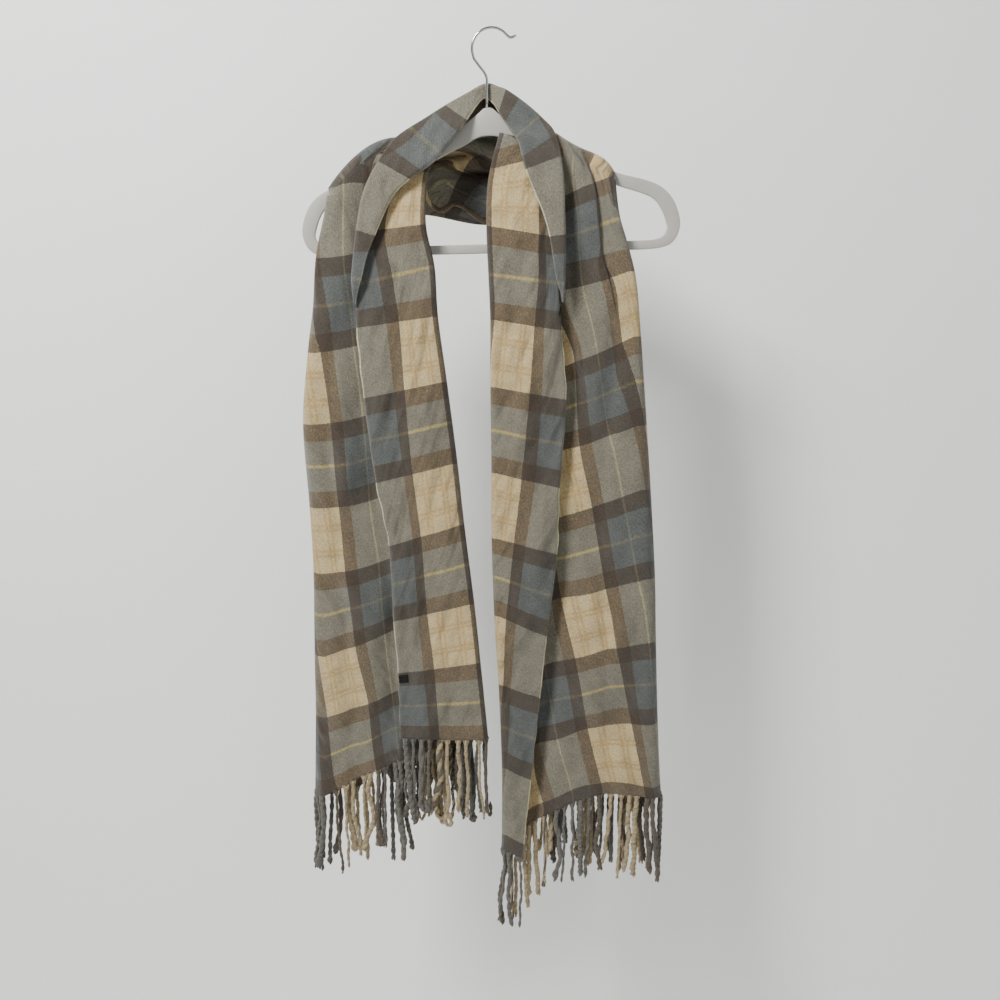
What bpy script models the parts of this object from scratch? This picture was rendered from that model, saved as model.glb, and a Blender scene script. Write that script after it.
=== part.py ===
"""An oblong check scarf with a twisted fringe, hung over the arms of a slim coat hanger.

Units are metres, +Z is up and the front faces -Y.  The origin is the top of the inside of the
hanger's hook, which is the point where the hook is held.

The scarf is one long cloth.  It passes behind the hanger's neck, over both arms, and hangs down
in front as two tails.  Its upper selvage is rolled over to the front as a narrow collar.  Each
tail is folded in three across its width: a front layer, a middle layer and a back layer.
"""

import math
from collections import namedtuple

import bmesh
import bpy
from mathutils import Matrix, Vector

MM = 0.001

# ---- cloth
WALL = 1.8 * MM                 # thickness of the brushed cloth
SHOULDER_SEAM = 1.2 * MM        # gap between a tail and the stretch that runs on over the arm
FRINGE_SEAM = 1.2 * MM          # gap between a tail's lower edge and its fringe
LABEL_SEAM = 0.5 * MM           # gap between the label and the cloth
STRAND_PITCH = 11.6 * MM
STRAND_WIDTH = 6.2 * MM
STRAND_DEPTH = 4.4 * MM
STRAND_LENGTH = 108.0 * MM
STRAND_SPREAD = 12.0 * MM       # how much longer or shorter a strand may be
STRAND_SWAY = 2.0 * MM          # how far a strand's end may stand to one side
ROOT_STRIP = 3.0 * MM           # height of the strip that joins the roots of a fringe

# ---- hanger
HANGER_DEPTH = 5.0 * MM
HANGER_TILT = math.radians(1.4)  # the left arm hangs a little lower than the right
WIRE = 3.0 * MM                 # diameter of the hook's wire
HOOK_RADIUS = 21.0 * MM         # of the wire's centre line
NECK_TOP = -79.0 * MM

# A row for each weft line that crosses a tail, from the shoulder to the fringe.  In millimetres:
# outer and inner edge of the front layer (front_x, front_z, fold_x, fold_z), the place where the
# middle layer comes out from behind the front one (edge_x, edge_z), the outer fold (side_x,
# side_z), the depths of the three layers, the height of the back layer's waves, and the place
# and depth of a crease in the middle layer.
Weft = namedtuple("Weft", "front_x front_z fold_x fold_z edge_x edge_z side_x side_z "
                          "front_y middle_y back_y wave crease_x crease")

LEFT_WEFTS = [
    Weft(-104, -130, -66, -141, -126, -130, -179, -171, -21.5, -15.0, -8.5, 0.4, -150, 0),
    Weft(-112, -148, -70, -154, -138, -154, -182, -189, -25.5, -18.5, -9.8, 0.6, -160, 0.8),
    Weft(-134, -209, -72, -202, -146, -231, -193, -237, -30.0, -22.0, -11.5, 1.0, -168, 1.2),
    Weft(-146, -265, -63, -247, -148, -282, -198, -289, -33.0, -24.5, -11.0, 3.0, -176, 1.8),
    Weft(-149, -312, -60, -300, -152, -333, -206, -340, -35.0, -26.0, -9.0, 6.0, -182, 2.5),
    Weft(-143, -389, -51, -371, -141, -410, -215, -420, -36.5, -27.0, -6.0, 9.0, -186, 3),
    Weft(-132, -486, -40, -464, -131, -507, -212, -518, -37.0, -27.0, -3.0, 12.0, -184, 3),
    Weft(-119, -560, -33, -535, -122, -580, -211, -596, -37.0, -27.0, -1.0, 14.0, -180, 2.5),
    Weft(-116, -652, -22, -631, -117, -669, -214, -700, -37.5, -27.0, 0.0, 15.0, -176, 2.5),
    Weft(-112, -716, -15, -704, -118, -748, -216, -778, -38.0, -27.0, 1.0, 16.0, -172, 3),
    Weft(-112, -800, -6, -803, -123, -842, -221, -883, -38.0, -27.0, 2.0, 16.0, -170, 3),
]
RIGHT_WEFTS = [
    Weft(60, -128, 16, -124, 90, -131, 134, -153, -21.5, -15.0, -8.5, 0.4, 101, 0.8),
    Weft(66, -160, 4, -160, 82, -158, 136, -174, -26.5, -19.0, -10.0, 0.6, 108, 1.8),
    Weft(68, -215, -2, -204, 77, -190, 140, -196, -30.0, -21.0, -11.5, 1.0, 113, 2.4),
    Weft(74, -264, -2, -255, 77, -240, 149, -224, -32.5, -23.0, -12.0, 2.0, 120, 2.6),
    Weft(77, -315, -1, -304, 77, -292, 159, -262, -35.0, -25.0, -11.0, 4.0, 132, 2.6),
    Weft(83, -391, -1, -377, 90, -352, 166, -322, -36.5, -26.5, -8.0, 8.0, 142, 2.0),
    Weft(77, -492, 0, -475, 81, -452, 176, -422, -37.0, -27.0, -5.0, 10.0, 150, 1.5),
    Weft(75, -570, 0, -551, 80, -529, 183, -496, -37.0, -27.0, -2.5, 12.0, 150, 2.0),
    Weft(64, -671, 3, -646, 74, -631, 192, -604, -37.5, -27.0, -1.0, 14.0, 146, 2.5),
    Weft(57, -748, 8, -732, 63, -713, 196, -683, -38.0, -27.0, 0.5, 15.0, 140, 2.5),
    Weft(47, -856, 12, -841, 58, -816, 202, -789, -38.0, -27.0, 2.0, 16.0, 134, 3),
    Weft(39, -943, 12, -930, 46, -905, 208, -872, -38.0, -27.0, 2.0, 16.0, 130, 3),
    Weft(38, -963, 11, -952, 46, -925, 210, -887, -38.0, -27.0, 2.0, 16.0, 128, 3),
]
FRONT_BOW = 1.5                 # mm that the front layer bows forward
BACK_STOP = 16                  # mm that the back layer ends outside the inner fold
BACK_RISE = 25                  # mm that the back layer's far edge hangs higher than the side fold
RISE_START = -200               # mm, the height below which that rise comes in ...
RISE_LENGTH = 200               # ... over so many mm
BACK_WAVES = 2.25               # waves across the back layer
CREASE_WIDTH = 7                # mm from a crease's bottom to where it is mostly gone
HOLLOW = 0.24                   # part of the space behind the middle layer that it sinks into ...
HOLLOW_WIDTH = 14               # ... within so many mm of the front layer's selvage
FOLD_CLEAR = 0.18               # part of a layer, beside each fold, where creases and waves start

# A row for each station of the rolled collar, from the left lapel's foot over the peak to the
# right lapel's foot, in millimetres: its free edge, then the crest of its roll.
Roll = namedtuple("Roll", "edge_x edge_y edge_z crest_x crest_y crest_z")

COLLAR = [
    Roll(-140, -43, -258, -151, -40, -256),
    Roll(-134, -42, -236, -149, -39, -238),
    Roll(-125, -40, -214, -145, -37, -208),
    Roll(-106, -37, -175, -137, -34, -170),
    Roll(-87, -36, -156, -121, -28, -138),
    Roll(-64, -32, -140, -103, -12, -112),
    Roll(-41, -22, -115, -70, -1, -90),
    Roll(-27, -12, -94, -51, 3, -78),
    Roll(-17, -3, -79, -28, 6, -65),
    Roll(-8, 5, -69, -7, 7, -54),
    Roll(2, 3, -75, 8, 6, -57.5),
    Roll(9, -6, -87, 18, 5, -62),
    Roll(19, -14, -101, 38, 3, -76),
    Roll(28, -24, -116, 57, 0, -93),
    Roll(32, -30, -130, 67, -12, -106),
    Roll(36, -35, -146, 74, -24, -133),
    Roll(46, -37, -170, 77, -34, -163),
    Roll(55, -39, -191, 78, -37, -189),
    Roll(62, -41, -215, 79, -39, -213),
    Roll(66, -43, -238, 79, -41, -238),
    Roll(69, -44, -256, 79, -42, -257),
]
ROLL_RADIUS = 3                 # mm
ROLL_UNDER = 7                  # mm of cloth that lies under the roll

# A row for each station of the stretch that passes over the arms and behind the neck, in
# millimetres: its upper edge, its lower edge, and how far its pleats have opened (0 to 1).
Swag = namedtuple("Swag", "top_x top_y top_z low_x low_y low_z loft loose")

NECK_BACK = [
    Swag(-101, -8, -114, -178, -8.5, -164.5, 13, 0.0),
    Swag(-100, 0, -110, -178.5, 0, -162.1, 14, 0.0),
    Swag(-97, 8, -111, -177, 9, -166, 12, 0.0),
    Swag(-91, 9, -107, -170, 16, -173, 8, 0.15),
    Swag(-82, 8, -100, -157, 22, -181, 3, 0.4),
    Swag(-66, 7, -92, -125, 30, -188, 0, 0.7),
    Swag(-38, 10.5, -75.5, -70, 36, -195, 0, 1.0),
    Swag(-7, 13, -59, -10, 38, -199, 0, 1.0),
    Swag(24, 10.5, -71, 46, 36, -193, 0, 1.0),
    Swag(44, 8, -86, 86, 30, -182, 0, 0.7),
    Swag(54, 7, -95, 112, 22, -171, 0, 0.4),
    Swag(61, 8, -101, 125, 16, -160, 0, 0.15),
    Swag(67, 8, -106, 132, 9, -147, 0, 0.0),
    Swag(69, 0, -105, 133.5, 0, -142.1, 0, 0.0),
    Swag(69, -8, -109, 133, -8.5, -144, 0, 0.0),
]
# The part of a tail's middle layer that runs on over the arm (from 0 at the inner fold to 1).
SHOULDER_START = 0.36
# The pleats of the stretch behind the neck: part of the way down, and how far each stands back.
Pleat = namedtuple("Pleat", "down back")
PLEATS = [Pleat(0.0, 0), Pleat(0.2, 9), Pleat(0.4, -6), Pleat(0.58, 10), Pleat(0.78, -9),
          Pleat(0.92, -12), Pleat(1.0, 0)]

# Half of the hanger's ring, from the middle of its neck round to the middle of its lower bar, in
# millimetres from the ring's middle line and the neck's top: outer edge, then inner edge.
Ring = namedtuple("Ring", "out_x out_z in_x in_z")

HALF_RING = [
    Ring(0, 0, 0, -29),
    Ring(5, -1, 7, -29.5),
    Ring(11, -6, 15, -32),
    Ring(24, -15, 27, -38.5),
    Ring(40, -27, 42, -45),
    Ring(60, -38, 61, -54),
    Ring(100, -55, 101, -69),
    Ring(140, -70.5, 140, -84),
    Ring(172, -79, 165, -92),
    Ring(190, -87.5, 180, -99),
    Ring(202, -101, 189, -111),
    Ring(208.5, -118, 194, -124),
    Ring(209, -131, 195, -131),
    Ring(203, -144, 191, -138),
    Ring(190, -151, 182, -142),
    Ring(160, -153, 160, -143),
    Ring(80, -153, 80, -143),
    Ring(0, -153, 0, -143),
]
RING_MIDDLE_X = -4 * MM         # of the neck, before the tilt
HANGER_CHAMFER = 1.4 * MM

# The hook's wire below its round part, and its flicked tip, in millimetres.
HOOK_STEM = [(-5.2, -78.6), (-5.2, -60), (-5.2, -50), (-7.5, -44), (-13.2, -37), (-18.6, -30)]
HOOK_START = math.radians(200)  # the round part runs from here over the top ...
HOOK_END = math.radians(42)     # ... to here
HOOK_TIP = [(20.3, -8.6), (26.2, -6.2)]

# The bare woven label, on the front layer of the left tail at its selvage.
LABEL_WIDTH = 11 * MM
LABEL_HEIGHT = 9 * MM
LABEL_THICKNESS = 0.8 * MM
LABEL_DROP = 719 * MM           # from the origin down to its top edge

CLOTH = (0.36, 0.33, 0.29)
FRINGE = (0.42, 0.39, 0.34)
PLASTIC = (0.62, 0.60, 0.57)
CHROME = (0.75, 0.75, 0.76)
BLACK = (0.02, 0.02, 0.02)


def clear_scene():
    """Remove whatever the file holds at the start."""
    for old in list(bpy.data.objects):
        bpy.data.objects.remove(old, do_unlink=True)


def finish(name, colour, roughness, metallic):
    """A material with the sub-part's plain finish."""
    material = bpy.data.materials.new(name)
    material.use_nodes = True
    shader = material.node_tree.nodes["Principled BSDF"]
    shader.inputs["Base Color"].default_value = (*colour, 1.0)
    shader.inputs["Roughness"].default_value = roughness
    shader.inputs["Metallic"].default_value = metallic
    return material


def add_object(name, mesh_maker, material):
    """Turn a bmesh into a named object with one material."""
    mesh = bpy.data.meshes.new(name)
    mesh_maker.to_mesh(mesh)
    mesh_maker.free()
    mesh.materials.append(material)
    body = bpy.data.objects.new(name, mesh)
    bpy.context.scene.collection.objects.link(body)
    return body


def spline_row(rows, place):
    """A row between the table's rows, on a smooth curve through them."""
    last = len(rows) - 1
    index = min(int(place), last - 1)
    t = place - index
    before = rows[max(index - 1, 0)]
    start = rows[index]
    end = rows[index + 1]
    after = rows[min(index + 2, last)]
    values = []
    for p0, p1, p2, p3 in zip(before, start, end, after):
        pull_in = (p2 - p0) / 2
        pull_out = (p3 - p1) / 2
        values.append((2 * t**3 - 3 * t**2 + 1) * p1 + (t**3 - 2 * t**2 + t) * pull_in
                      + (3 * t**2 - 2 * t**3) * p2 + (t**3 - t**2) * pull_out)
    return type(start)(*values)


def through_three(x, x0, y0, x1, y1, x2, y2):
    """The parabola through three points."""
    return (y0 * (x - x1) * (x - x2) / ((x0 - x1) * (x0 - x2))
            + y1 * (x - x0) * (x - x2) / ((x1 - x0) * (x1 - x2))
            + y2 * (x - x0) * (x - x1) / ((x2 - x0) * (x2 - x1)))


def ease(t):
    """A smooth step from 0 to 1."""
    t = min(max(t, 0.0), 1.0)
    return t * t * (3 - 2 * t)


def add_sheet(name, grid, material):
    """A cloth wall: the grid is its middle surface, and Solidify gives it thickness."""
    maker = bmesh.new()
    verts = [[maker.verts.new(point) for point in row] for row in grid]
    for upper, lower in zip(verts, verts[1:]):
        for a, b, c, d in zip(upper, upper[1:], lower[1:], lower):
            maker.faces.new((a, d, c, b))
    maker.normal_update()
    sheet = add_object(name, maker, material)
    wall = sheet.modifiers.new("wall", "SOLIDIFY")
    wall.thickness = WALL
    wall.offset = 0.0
    wall.use_even_offset = False
    return sheet


# ---- tails

FRONT_STEPS = 3
FOLD_STEPS = 4
MIDDLE_STEPS = 10
BACK_STEPS = 11


def front_point(weft, s):
    """A point of the front layer, from its outer edge (0) to the inner fold (1)."""
    side = math.copysign(1, weft.side_x)
    radius = (weft.middle_y - weft.front_y) / 2
    end_x = weft.fold_x + side * radius
    x = weft.front_x + (end_x - weft.front_x) * s
    z = weft.front_z + (weft.fold_z - weft.front_z) * s
    bow = FRONT_BOW * math.sin(math.pi * s)
    return Vector((x, weft.front_y - bow, z)) * MM


def inner_fold_point(weft, s):
    """A point of the round fold between the front and the middle layer."""
    side = math.copysign(1, weft.side_x)
    radius = (weft.middle_y - weft.front_y) / 2
    middle = (weft.middle_y + weft.front_y) / 2
    angle = math.pi * s
    x = weft.fold_x + side * radius * (1 - math.sin(angle))
    return Vector((x, middle - radius * math.cos(angle), weft.fold_z)) * MM


def middle_point(weft, s):
    """A point of the middle layer, from the inner fold (0) to the outer fold (1)."""
    side = math.copysign(1, weft.side_x)
    start_x = weft.fold_x + side * (weft.middle_y - weft.front_y) / 2
    end_x = weft.side_x - side * (weft.back_y - weft.middle_y) / 2
    x = start_x + (end_x - start_x) * s
    z = through_three(x, start_x, weft.fold_z, weft.edge_x, weft.edge_z, end_x, weft.side_z)
    taper = ease(s / FOLD_CLEAR) * ease((1 - s) / FOLD_CLEAR)
    hollow = HOLLOW * (weft.back_y - weft.middle_y)
    sink = hollow * math.exp(-((x - weft.edge_x) / HOLLOW_WIDTH) ** 2)
    sink += weft.crease * math.exp(-((x - weft.crease_x) / CREASE_WIDTH) ** 2)
    return Vector((x, weft.middle_y + taper * sink, z)) * MM


def outer_fold_point(weft, s):
    """A point of the round fold between the middle and the back layer."""
    side = math.copysign(1, weft.side_x)
    radius = (weft.back_y - weft.middle_y) / 2
    middle = (weft.back_y + weft.middle_y) / 2
    angle = math.pi * s
    x = weft.side_x - side * radius * (1 - math.sin(angle))
    return Vector((x, middle - radius * math.cos(angle), weft.side_z)) * MM


def back_point(weft, s):
    """A point of the back layer, which hangs in soft waves."""
    side = math.copysign(1, weft.side_x)
    start_x = weft.side_x - side * (weft.back_y - weft.middle_y) / 2
    end_x = weft.fold_x + side * BACK_STOP
    x = start_x + (end_x - start_x) * s
    wave = weft.wave * math.sin(2 * math.pi * BACK_WAVES * s) * ease(s / FOLD_CLEAR)
    z = weft.side_z + BACK_RISE * s * ease((RISE_START - weft.side_z) / RISE_LENGTH)
    return Vector((x, weft.back_y + wave, z)) * MM


def across_tail(weft):
    """The points of one weft line across a folded tail, from the selvage to the far edge."""
    points = [front_point(weft, i / FRONT_STEPS) for i in range(FRONT_STEPS + 1)]
    points += [inner_fold_point(weft, i / FOLD_STEPS) for i in range(1, FOLD_STEPS)]
    points += [middle_point(weft, i / MIDDLE_STEPS) for i in range(MIDDLE_STEPS + 1)]
    points += [outer_fold_point(weft, i / FOLD_STEPS) for i in range(1, FOLD_STEPS)]
    points += [back_point(weft, i / BACK_STEPS) for i in range(BACK_STEPS + 1)]
    return points


def add_tail(name, wefts, rows_between, material):
    """One hanging tail of the scarf."""
    count = (len(wefts) - 1) * rows_between
    grid = [across_tail(spline_row(wefts, i / rows_between)) for i in range(count + 1)]
    if wefts[0].side_x > 0:
        grid = [list(reversed(row)) for row in grid]
    return add_sheet(name, grid, material)


# ---- fringe

def along_line(points, distance):
    """The point at a distance along a line of points, and the line's direction there."""
    left = distance
    for start, end in zip(points, points[1:]):
        step = (end - start).length
        if left <= step:
            return start.lerp(end, left / step), (end - start).normalized()
        left -= step
    return points[-1].copy(), (points[-1] - points[-2]).normalized()


HEM_STEPS = 48                  # short steps along each part of the lower edge
LENGTH_BEAT = 2.4               # how fast the strands' lengths and sways change along the hem
SWAY_BEAT = 1.7


def fine_hem(weft):
    """The tail's lower edge, in short steps."""
    points = [front_point(weft, i / HEM_STEPS) for i in range(HEM_STEPS)]
    points += [inner_fold_point(weft, i / HEM_STEPS) for i in range(HEM_STEPS)]
    points += [middle_point(weft, i / HEM_STEPS) for i in range(HEM_STEPS)]
    points += [outer_fold_point(weft, i / HEM_STEPS) for i in range(HEM_STEPS)]
    points += [back_point(weft, i / HEM_STEPS) for i in range(HEM_STEPS + 1)]
    return points


def add_fringe(name, weft, material):
    """The twisted strands of one end, with their roots fused in one narrow strip."""
    hem = fine_hem(weft)
    length = sum((b - a).length for a, b in zip(hem, hem[1:]))
    count = round(length / STRAND_PITCH)
    pitch = length / count
    maker = bmesh.new()
    rings = []
    for i in range(count):
        for side in (-1, 1):
            place = (i + 0.5) * pitch + side * STRAND_WIDTH / 2
            point, along = along_line(hem, place)
            out = Vector((along.y, -along.x, 0)).normalized() * (WALL / 2)
            top = point - Vector((0, 0, FRINGE_SEAM))
            low = top - Vector((0, 0, ROOT_STRIP))
            rings.append([maker.verts.new(p) for p in (top + out, top - out, low - out, low + out)])
    for i, (a, b) in enumerate(zip(rings, rings[1:])):
        for k, n in ((0, 1), (1, 2), (3, 0)):
            maker.faces.new((a[k], b[k], b[n], a[n]))
        if i % 2:
            maker.faces.new((a[2], b[2], b[3], a[3]))
    maker.faces.new(rings[0])
    maker.faces.new(list(reversed(rings[-1])))
    for i in range(count):
        add_strand(maker, rings[2 * i], rings[2 * i + 1], i)
    bmesh.ops.recalc_face_normals(maker, faces=maker.faces)
    return add_object(name, maker, material)


# The levels of a strand: part of its length, part of its sway, and part of its full thickness.
Level = namedtuple("Level", "down sway size")
LEVELS = [Level(0.09, 0.0, 1.0), Level(0.55, 0.6, 0.95), Level(1.0, 1.0, 0.6)]


def add_strand(maker, first, second, number):
    """One strand, drawn down from its cell in the root strip."""
    root = [first[3], first[2], second[2], second[3]]
    middle = sum((v.co for v in root), Vector()) / 4
    along = second[3].co - first[3].co
    along = Vector((along.x, along.y, 0)).normalized()
    out = Vector((along.y, -along.x, 0))
    length = STRAND_LENGTH + STRAND_SPREAD * math.sin(number * LENGTH_BEAT)
    sway = STRAND_SWAY * math.sin(number * SWAY_BEAT)
    ring = root
    for level in LEVELS:
        centre = middle + along * sway * level.sway - Vector((0, 0, length * level.down))
        half_along = along * STRAND_WIDTH / 2 * level.size
        half_out = out * STRAND_DEPTH / 2 * level.size
        corners = (centre - half_along + half_out, centre - half_along - half_out,
                   centre + half_along - half_out, centre + half_along + half_out)
        lower = [maker.verts.new(p) for p in corners]
        for k in range(4):
            n = (k + 1) % 4
            maker.faces.new((ring[k], ring[n], lower[n], lower[k]))
        ring = lower
    maker.faces.new(ring)


# ---- rolled collar and the stretch behind the neck

def across_collar(roll, forward):
    """The points across the collar: its flap, the roll, and the cloth under the roll."""
    edge = Vector((roll.edge_x, roll.edge_y, roll.edge_z))
    crest = Vector((roll.crest_x, roll.crest_y, roll.crest_z))
    outward = (crest - edge).normalized()
    front = (forward - outward * forward.dot(outward)).normalized()
    centre = crest - outward * ROLL_RADIUS
    top = centre + front * ROLL_RADIUS
    points = [edge.lerp(top, i / 3) for i in range(4)]
    for i in range(1, 4):
        angle = math.pi * i / 4
        points.append(centre + front * (ROLL_RADIUS * math.cos(angle))
                      + outward * (ROLL_RADIUS * math.sin(angle)))
    under = centre - front * ROLL_RADIUS
    points += [under, under - outward * ROLL_UNDER]
    return [p * MM for p in points]


def add_collar(material):
    """The strip along the upper selvage that is rolled over to the front."""
    rows = []
    count = (len(COLLAR) - 1) * 2
    stations = [spline_row(COLLAR, i / 2) for i in range(count + 1)]
    middles = [Vector(((r.edge_x + r.crest_x) / 2, (r.edge_y + r.crest_y) / 2,
                       (r.edge_z + r.crest_z) / 2)) for r in stations]
    for i, roll in enumerate(stations):
        ahead = middles[min(i + 1, count)] - middles[max(i - 1, 0)]
        across = Vector((roll.crest_x - roll.edge_x, roll.crest_y - roll.edge_y,
                         roll.crest_z - roll.edge_z))
        forward = ahead.cross(across)
        if forward.y > 0:
            forward.negate()
        rows.append(across_collar(roll, forward))
    return add_sheet("rolled_collar", rows, material)


NECK_STEPS = 12


def pleat_back(down):
    """How far the pleats stand back at a part of the way down."""
    for upper, lower in zip(PLEATS, PLEATS[1:]):
        if down <= lower.down:
            t = (down - upper.down) / (lower.down - upper.down)
            return upper.back + (lower.back - upper.back) * ease(t)
    return 0.0


def shoulder_seam(weft):
    """The line just above a tail's middle layer, where the stretch over the arm begins."""
    row = []
    for k in range(NECK_STEPS + 1):
        s = SHOULDER_START + (1 - SHOULDER_START) * k / NECK_STEPS
        row.append(middle_point(weft, s) + Vector((0, 0, SHOULDER_SEAM)))
    return row


def add_neck_back(material):
    """The stretch that lies over both arms and hangs in pleats behind the neck."""
    grid = [shoulder_seam(LEFT_WEFTS[0])]
    count = len(NECK_BACK) - 1
    for i in range(count + 1):
        swag = NECK_BACK[i]
        top = Vector((swag.top_x, swag.top_y, swag.top_z))
        low = Vector((swag.low_x, swag.low_y, swag.low_z))
        row = []
        for k in range(NECK_STEPS + 1):
            down = k / NECK_STEPS
            point = top.lerp(low, down)
            point.y += swag.loose * pleat_back(down)
            point.z += swag.loft * 4 * down * (1 - down)
            row.append(point * MM)
        grid.append(row)
    grid.append(shoulder_seam(RIGHT_WEFTS[0]))
    return add_sheet("neck_back", grid, material)


# ---- hanger

def add_hanger_body(material):
    """The closed ring of the hanger, with a chamfered oblong section."""
    half = HANGER_DEPTH / 2
    right = HALF_RING
    left = [Ring(-r.out_x, r.out_z, -r.in_x, r.in_z) for r in reversed(HALF_RING[1:-1])]
    turn = Matrix.Rotation(-HANGER_TILT, 4, "Y")
    neck = Vector((RING_MIDDLE_X, 0, NECK_TOP))
    maker = bmesh.new()
    rings = []
    for r in right + left:
        outer = Vector((r.out_x, 0, r.out_z)) * MM
        inner = Vector((r.in_x, 0, r.in_z)) * MM
        inward = (inner - outer).normalized() * HANGER_CHAMFER
        ring = []
        for point, y in ((outer, -half + HANGER_CHAMFER), (outer + inward, -half),
                         (inner - inward, -half), (inner, -half + HANGER_CHAMFER),
                         (inner, half - HANGER_CHAMFER), (inner - inward, half),
                         (outer + inward, half), (outer, half - HANGER_CHAMFER)):
            ring.append(maker.verts.new(neck + turn @ Vector((point.x, y, point.z))))
        rings.append(ring)
    for a, b in zip(rings, rings[1:] + rings[:1]):
        for k in range(8):
            n = (k + 1) % 8
            maker.faces.new((a[k], a[n], b[n], b[k]))
    bmesh.ops.recalc_face_normals(maker, faces=maker.faces)
    return add_object("hanger_body", maker, material)


def add_hook(material):
    """The wire hook: a straight stem, a bend, a round part and a flicked tip."""
    path = [Vector((x, 0, z)) * MM for x, z in HOOK_STEM]
    centre = Vector((0, 0, WIRE / 2 - HOOK_RADIUS))
    steps = 16
    for i in range(steps + 1):
        angle = HOOK_START + (HOOK_END - HOOK_START) * i / steps
        path.append(centre + Vector((math.cos(angle), 0, math.sin(angle))) * HOOK_RADIUS)
    path += [Vector((x, 0, z)) * MM for x, z in HOOK_TIP]
    maker = bmesh.new()
    sides = 8
    rings = []
    for i, point in enumerate(path):
        along = (path[min(i + 1, len(path) - 1)] - path[max(i - 1, 0)]).normalized()
        if i == 0:
            along = Vector((0, 0, 1))
        across = along.cross(Vector((0, 1, 0)))
        ring = []
        for k in range(sides):
            angle = 2 * math.pi * k / sides
            offset = across * math.cos(angle) + Vector((0, 1, 0)) * math.sin(angle)
            ring.append(maker.verts.new(point + offset * (WIRE / 2)))
        rings.append(ring)
    for a, b in zip(rings, rings[1:]):
        for k in range(sides):
            n = (k + 1) % sides
            maker.faces.new((a[k], a[n], b[n], b[k]))
    maker.faces.new(rings[0])
    maker.faces.new(rings[-1])
    bmesh.ops.recalc_face_normals(maker, faces=maker.faces)
    return add_object("hanger_hook", maker, material)


# ---- label

def place_at_height(wefts, height):
    """The place along a tail where its front edge is at a height."""
    low, high = 0.0, len(wefts) - 1.0
    for _ in range(40):
        half = (low + high) / 2
        if front_point(spline_row(wefts, half), 0).z > height:
            low = half
        else:
            high = half
    return low


def add_label(material):
    """The bare label, made from the front layer's own points moved out."""
    upper = spline_row(LEFT_WEFTS, place_at_height(LEFT_WEFTS, -LABEL_DROP))
    lower = spline_row(LEFT_WEFTS, place_at_height(LEFT_WEFTS, -LABEL_DROP - LABEL_HEIGHT))
    width = (front_point(upper, 1) - front_point(upper, 0)).length
    near = WALL / 2 + LABEL_SEAM
    maker = bmesh.new()
    corners = [front_point(weft, s) for weft, s in
               ((upper, 0.01), (upper, LABEL_WIDTH / width), (lower, LABEL_WIDTH / width),
                (lower, 0.01))]
    back = [maker.verts.new(p - Vector((0, near, 0))) for p in corners]
    front = [maker.verts.new(p - Vector((0, near + LABEL_THICKNESS, 0))) for p in corners]
    maker.faces.new(back)
    maker.faces.new(front)
    for k in range(4):
        n = (k + 1) % 4
        maker.faces.new((back[k], back[n], front[n], front[k]))
    bmesh.ops.recalc_face_normals(maker, faces=maker.faces)
    return add_object("label", maker, material)


def main():
    clear_scene()
    cloth = finish("brushed cloth", CLOTH, 0.95, 0.0)
    fringe = finish("twisted fringe", FRINGE, 0.95, 0.0)
    add_tail("left_tail", LEFT_WEFTS, 2, cloth)
    add_tail("right_tail", RIGHT_WEFTS, 2, cloth)
    add_collar(cloth)
    add_neck_back(cloth)
    add_fringe("left_fringe", LEFT_WEFTS[-1], fringe)
    add_fringe("right_fringe", RIGHT_WEFTS[-1], fringe)
    add_label(finish("woven label", BLACK, 0.8, 0.0))
    add_hanger_body(finish("hanger plastic", PLASTIC, 0.5, 0.0))
    add_hook(finish("hook chrome", CHROME, 0.2, 1.0))


main()
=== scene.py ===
# %% [markdown]
# # A check scarf on a slim hanger
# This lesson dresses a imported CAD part.  The part is an oblong wool scarf with a twisted fringe.
# It hangs over the arms of a closed-ring hanger with a wire hook.  The CAD gives the places and
# the sizes, and each step here gives one piece its real folds, threads and finish.

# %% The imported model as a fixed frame
import math
from collections import namedtuple

import bmesh
import bpy
import numpy as np
from mathutils import Matrix, Vector


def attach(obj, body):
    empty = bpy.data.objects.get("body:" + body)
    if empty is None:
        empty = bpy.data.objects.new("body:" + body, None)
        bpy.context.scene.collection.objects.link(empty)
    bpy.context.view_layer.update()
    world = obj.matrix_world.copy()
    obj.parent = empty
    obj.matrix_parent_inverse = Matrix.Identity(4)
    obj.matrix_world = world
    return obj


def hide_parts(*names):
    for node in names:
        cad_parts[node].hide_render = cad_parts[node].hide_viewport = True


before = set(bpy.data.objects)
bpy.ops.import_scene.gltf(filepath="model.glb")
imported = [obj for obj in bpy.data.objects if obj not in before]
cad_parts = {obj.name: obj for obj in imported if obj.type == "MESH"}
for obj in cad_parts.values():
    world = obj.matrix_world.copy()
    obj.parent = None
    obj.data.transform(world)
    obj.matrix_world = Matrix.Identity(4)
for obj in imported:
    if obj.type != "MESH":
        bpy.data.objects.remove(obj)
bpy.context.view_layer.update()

MM = 0.001

# %% [markdown]
# ## The camera and the stage
# The photograph looks a little down on the scarf from just over a metre away.  A wide camera at
# that distance gives the same lean of the lines.  The wall stands close behind the cloth, so it
# takes a soft shadow.  Its back is clear, so that a camera behind it still sees the scarf.

# %% The camera
CAMERA_PLACE = (0.009, -1.149, -0.249)
CAMERA_TILT = math.radians(77)
camera = bpy.data.objects.new("camera", bpy.data.cameras.new("camera"))
camera.data.lens = 36
camera.data.sensor_width = 36
camera.location = CAMERA_PLACE
camera.rotation_euler = (CAMERA_TILT, 0, 0)
bpy.context.scene.collection.objects.link(camera)
bpy.context.scene.camera = camera
print("camera at", CAMERA_PLACE)


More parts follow.
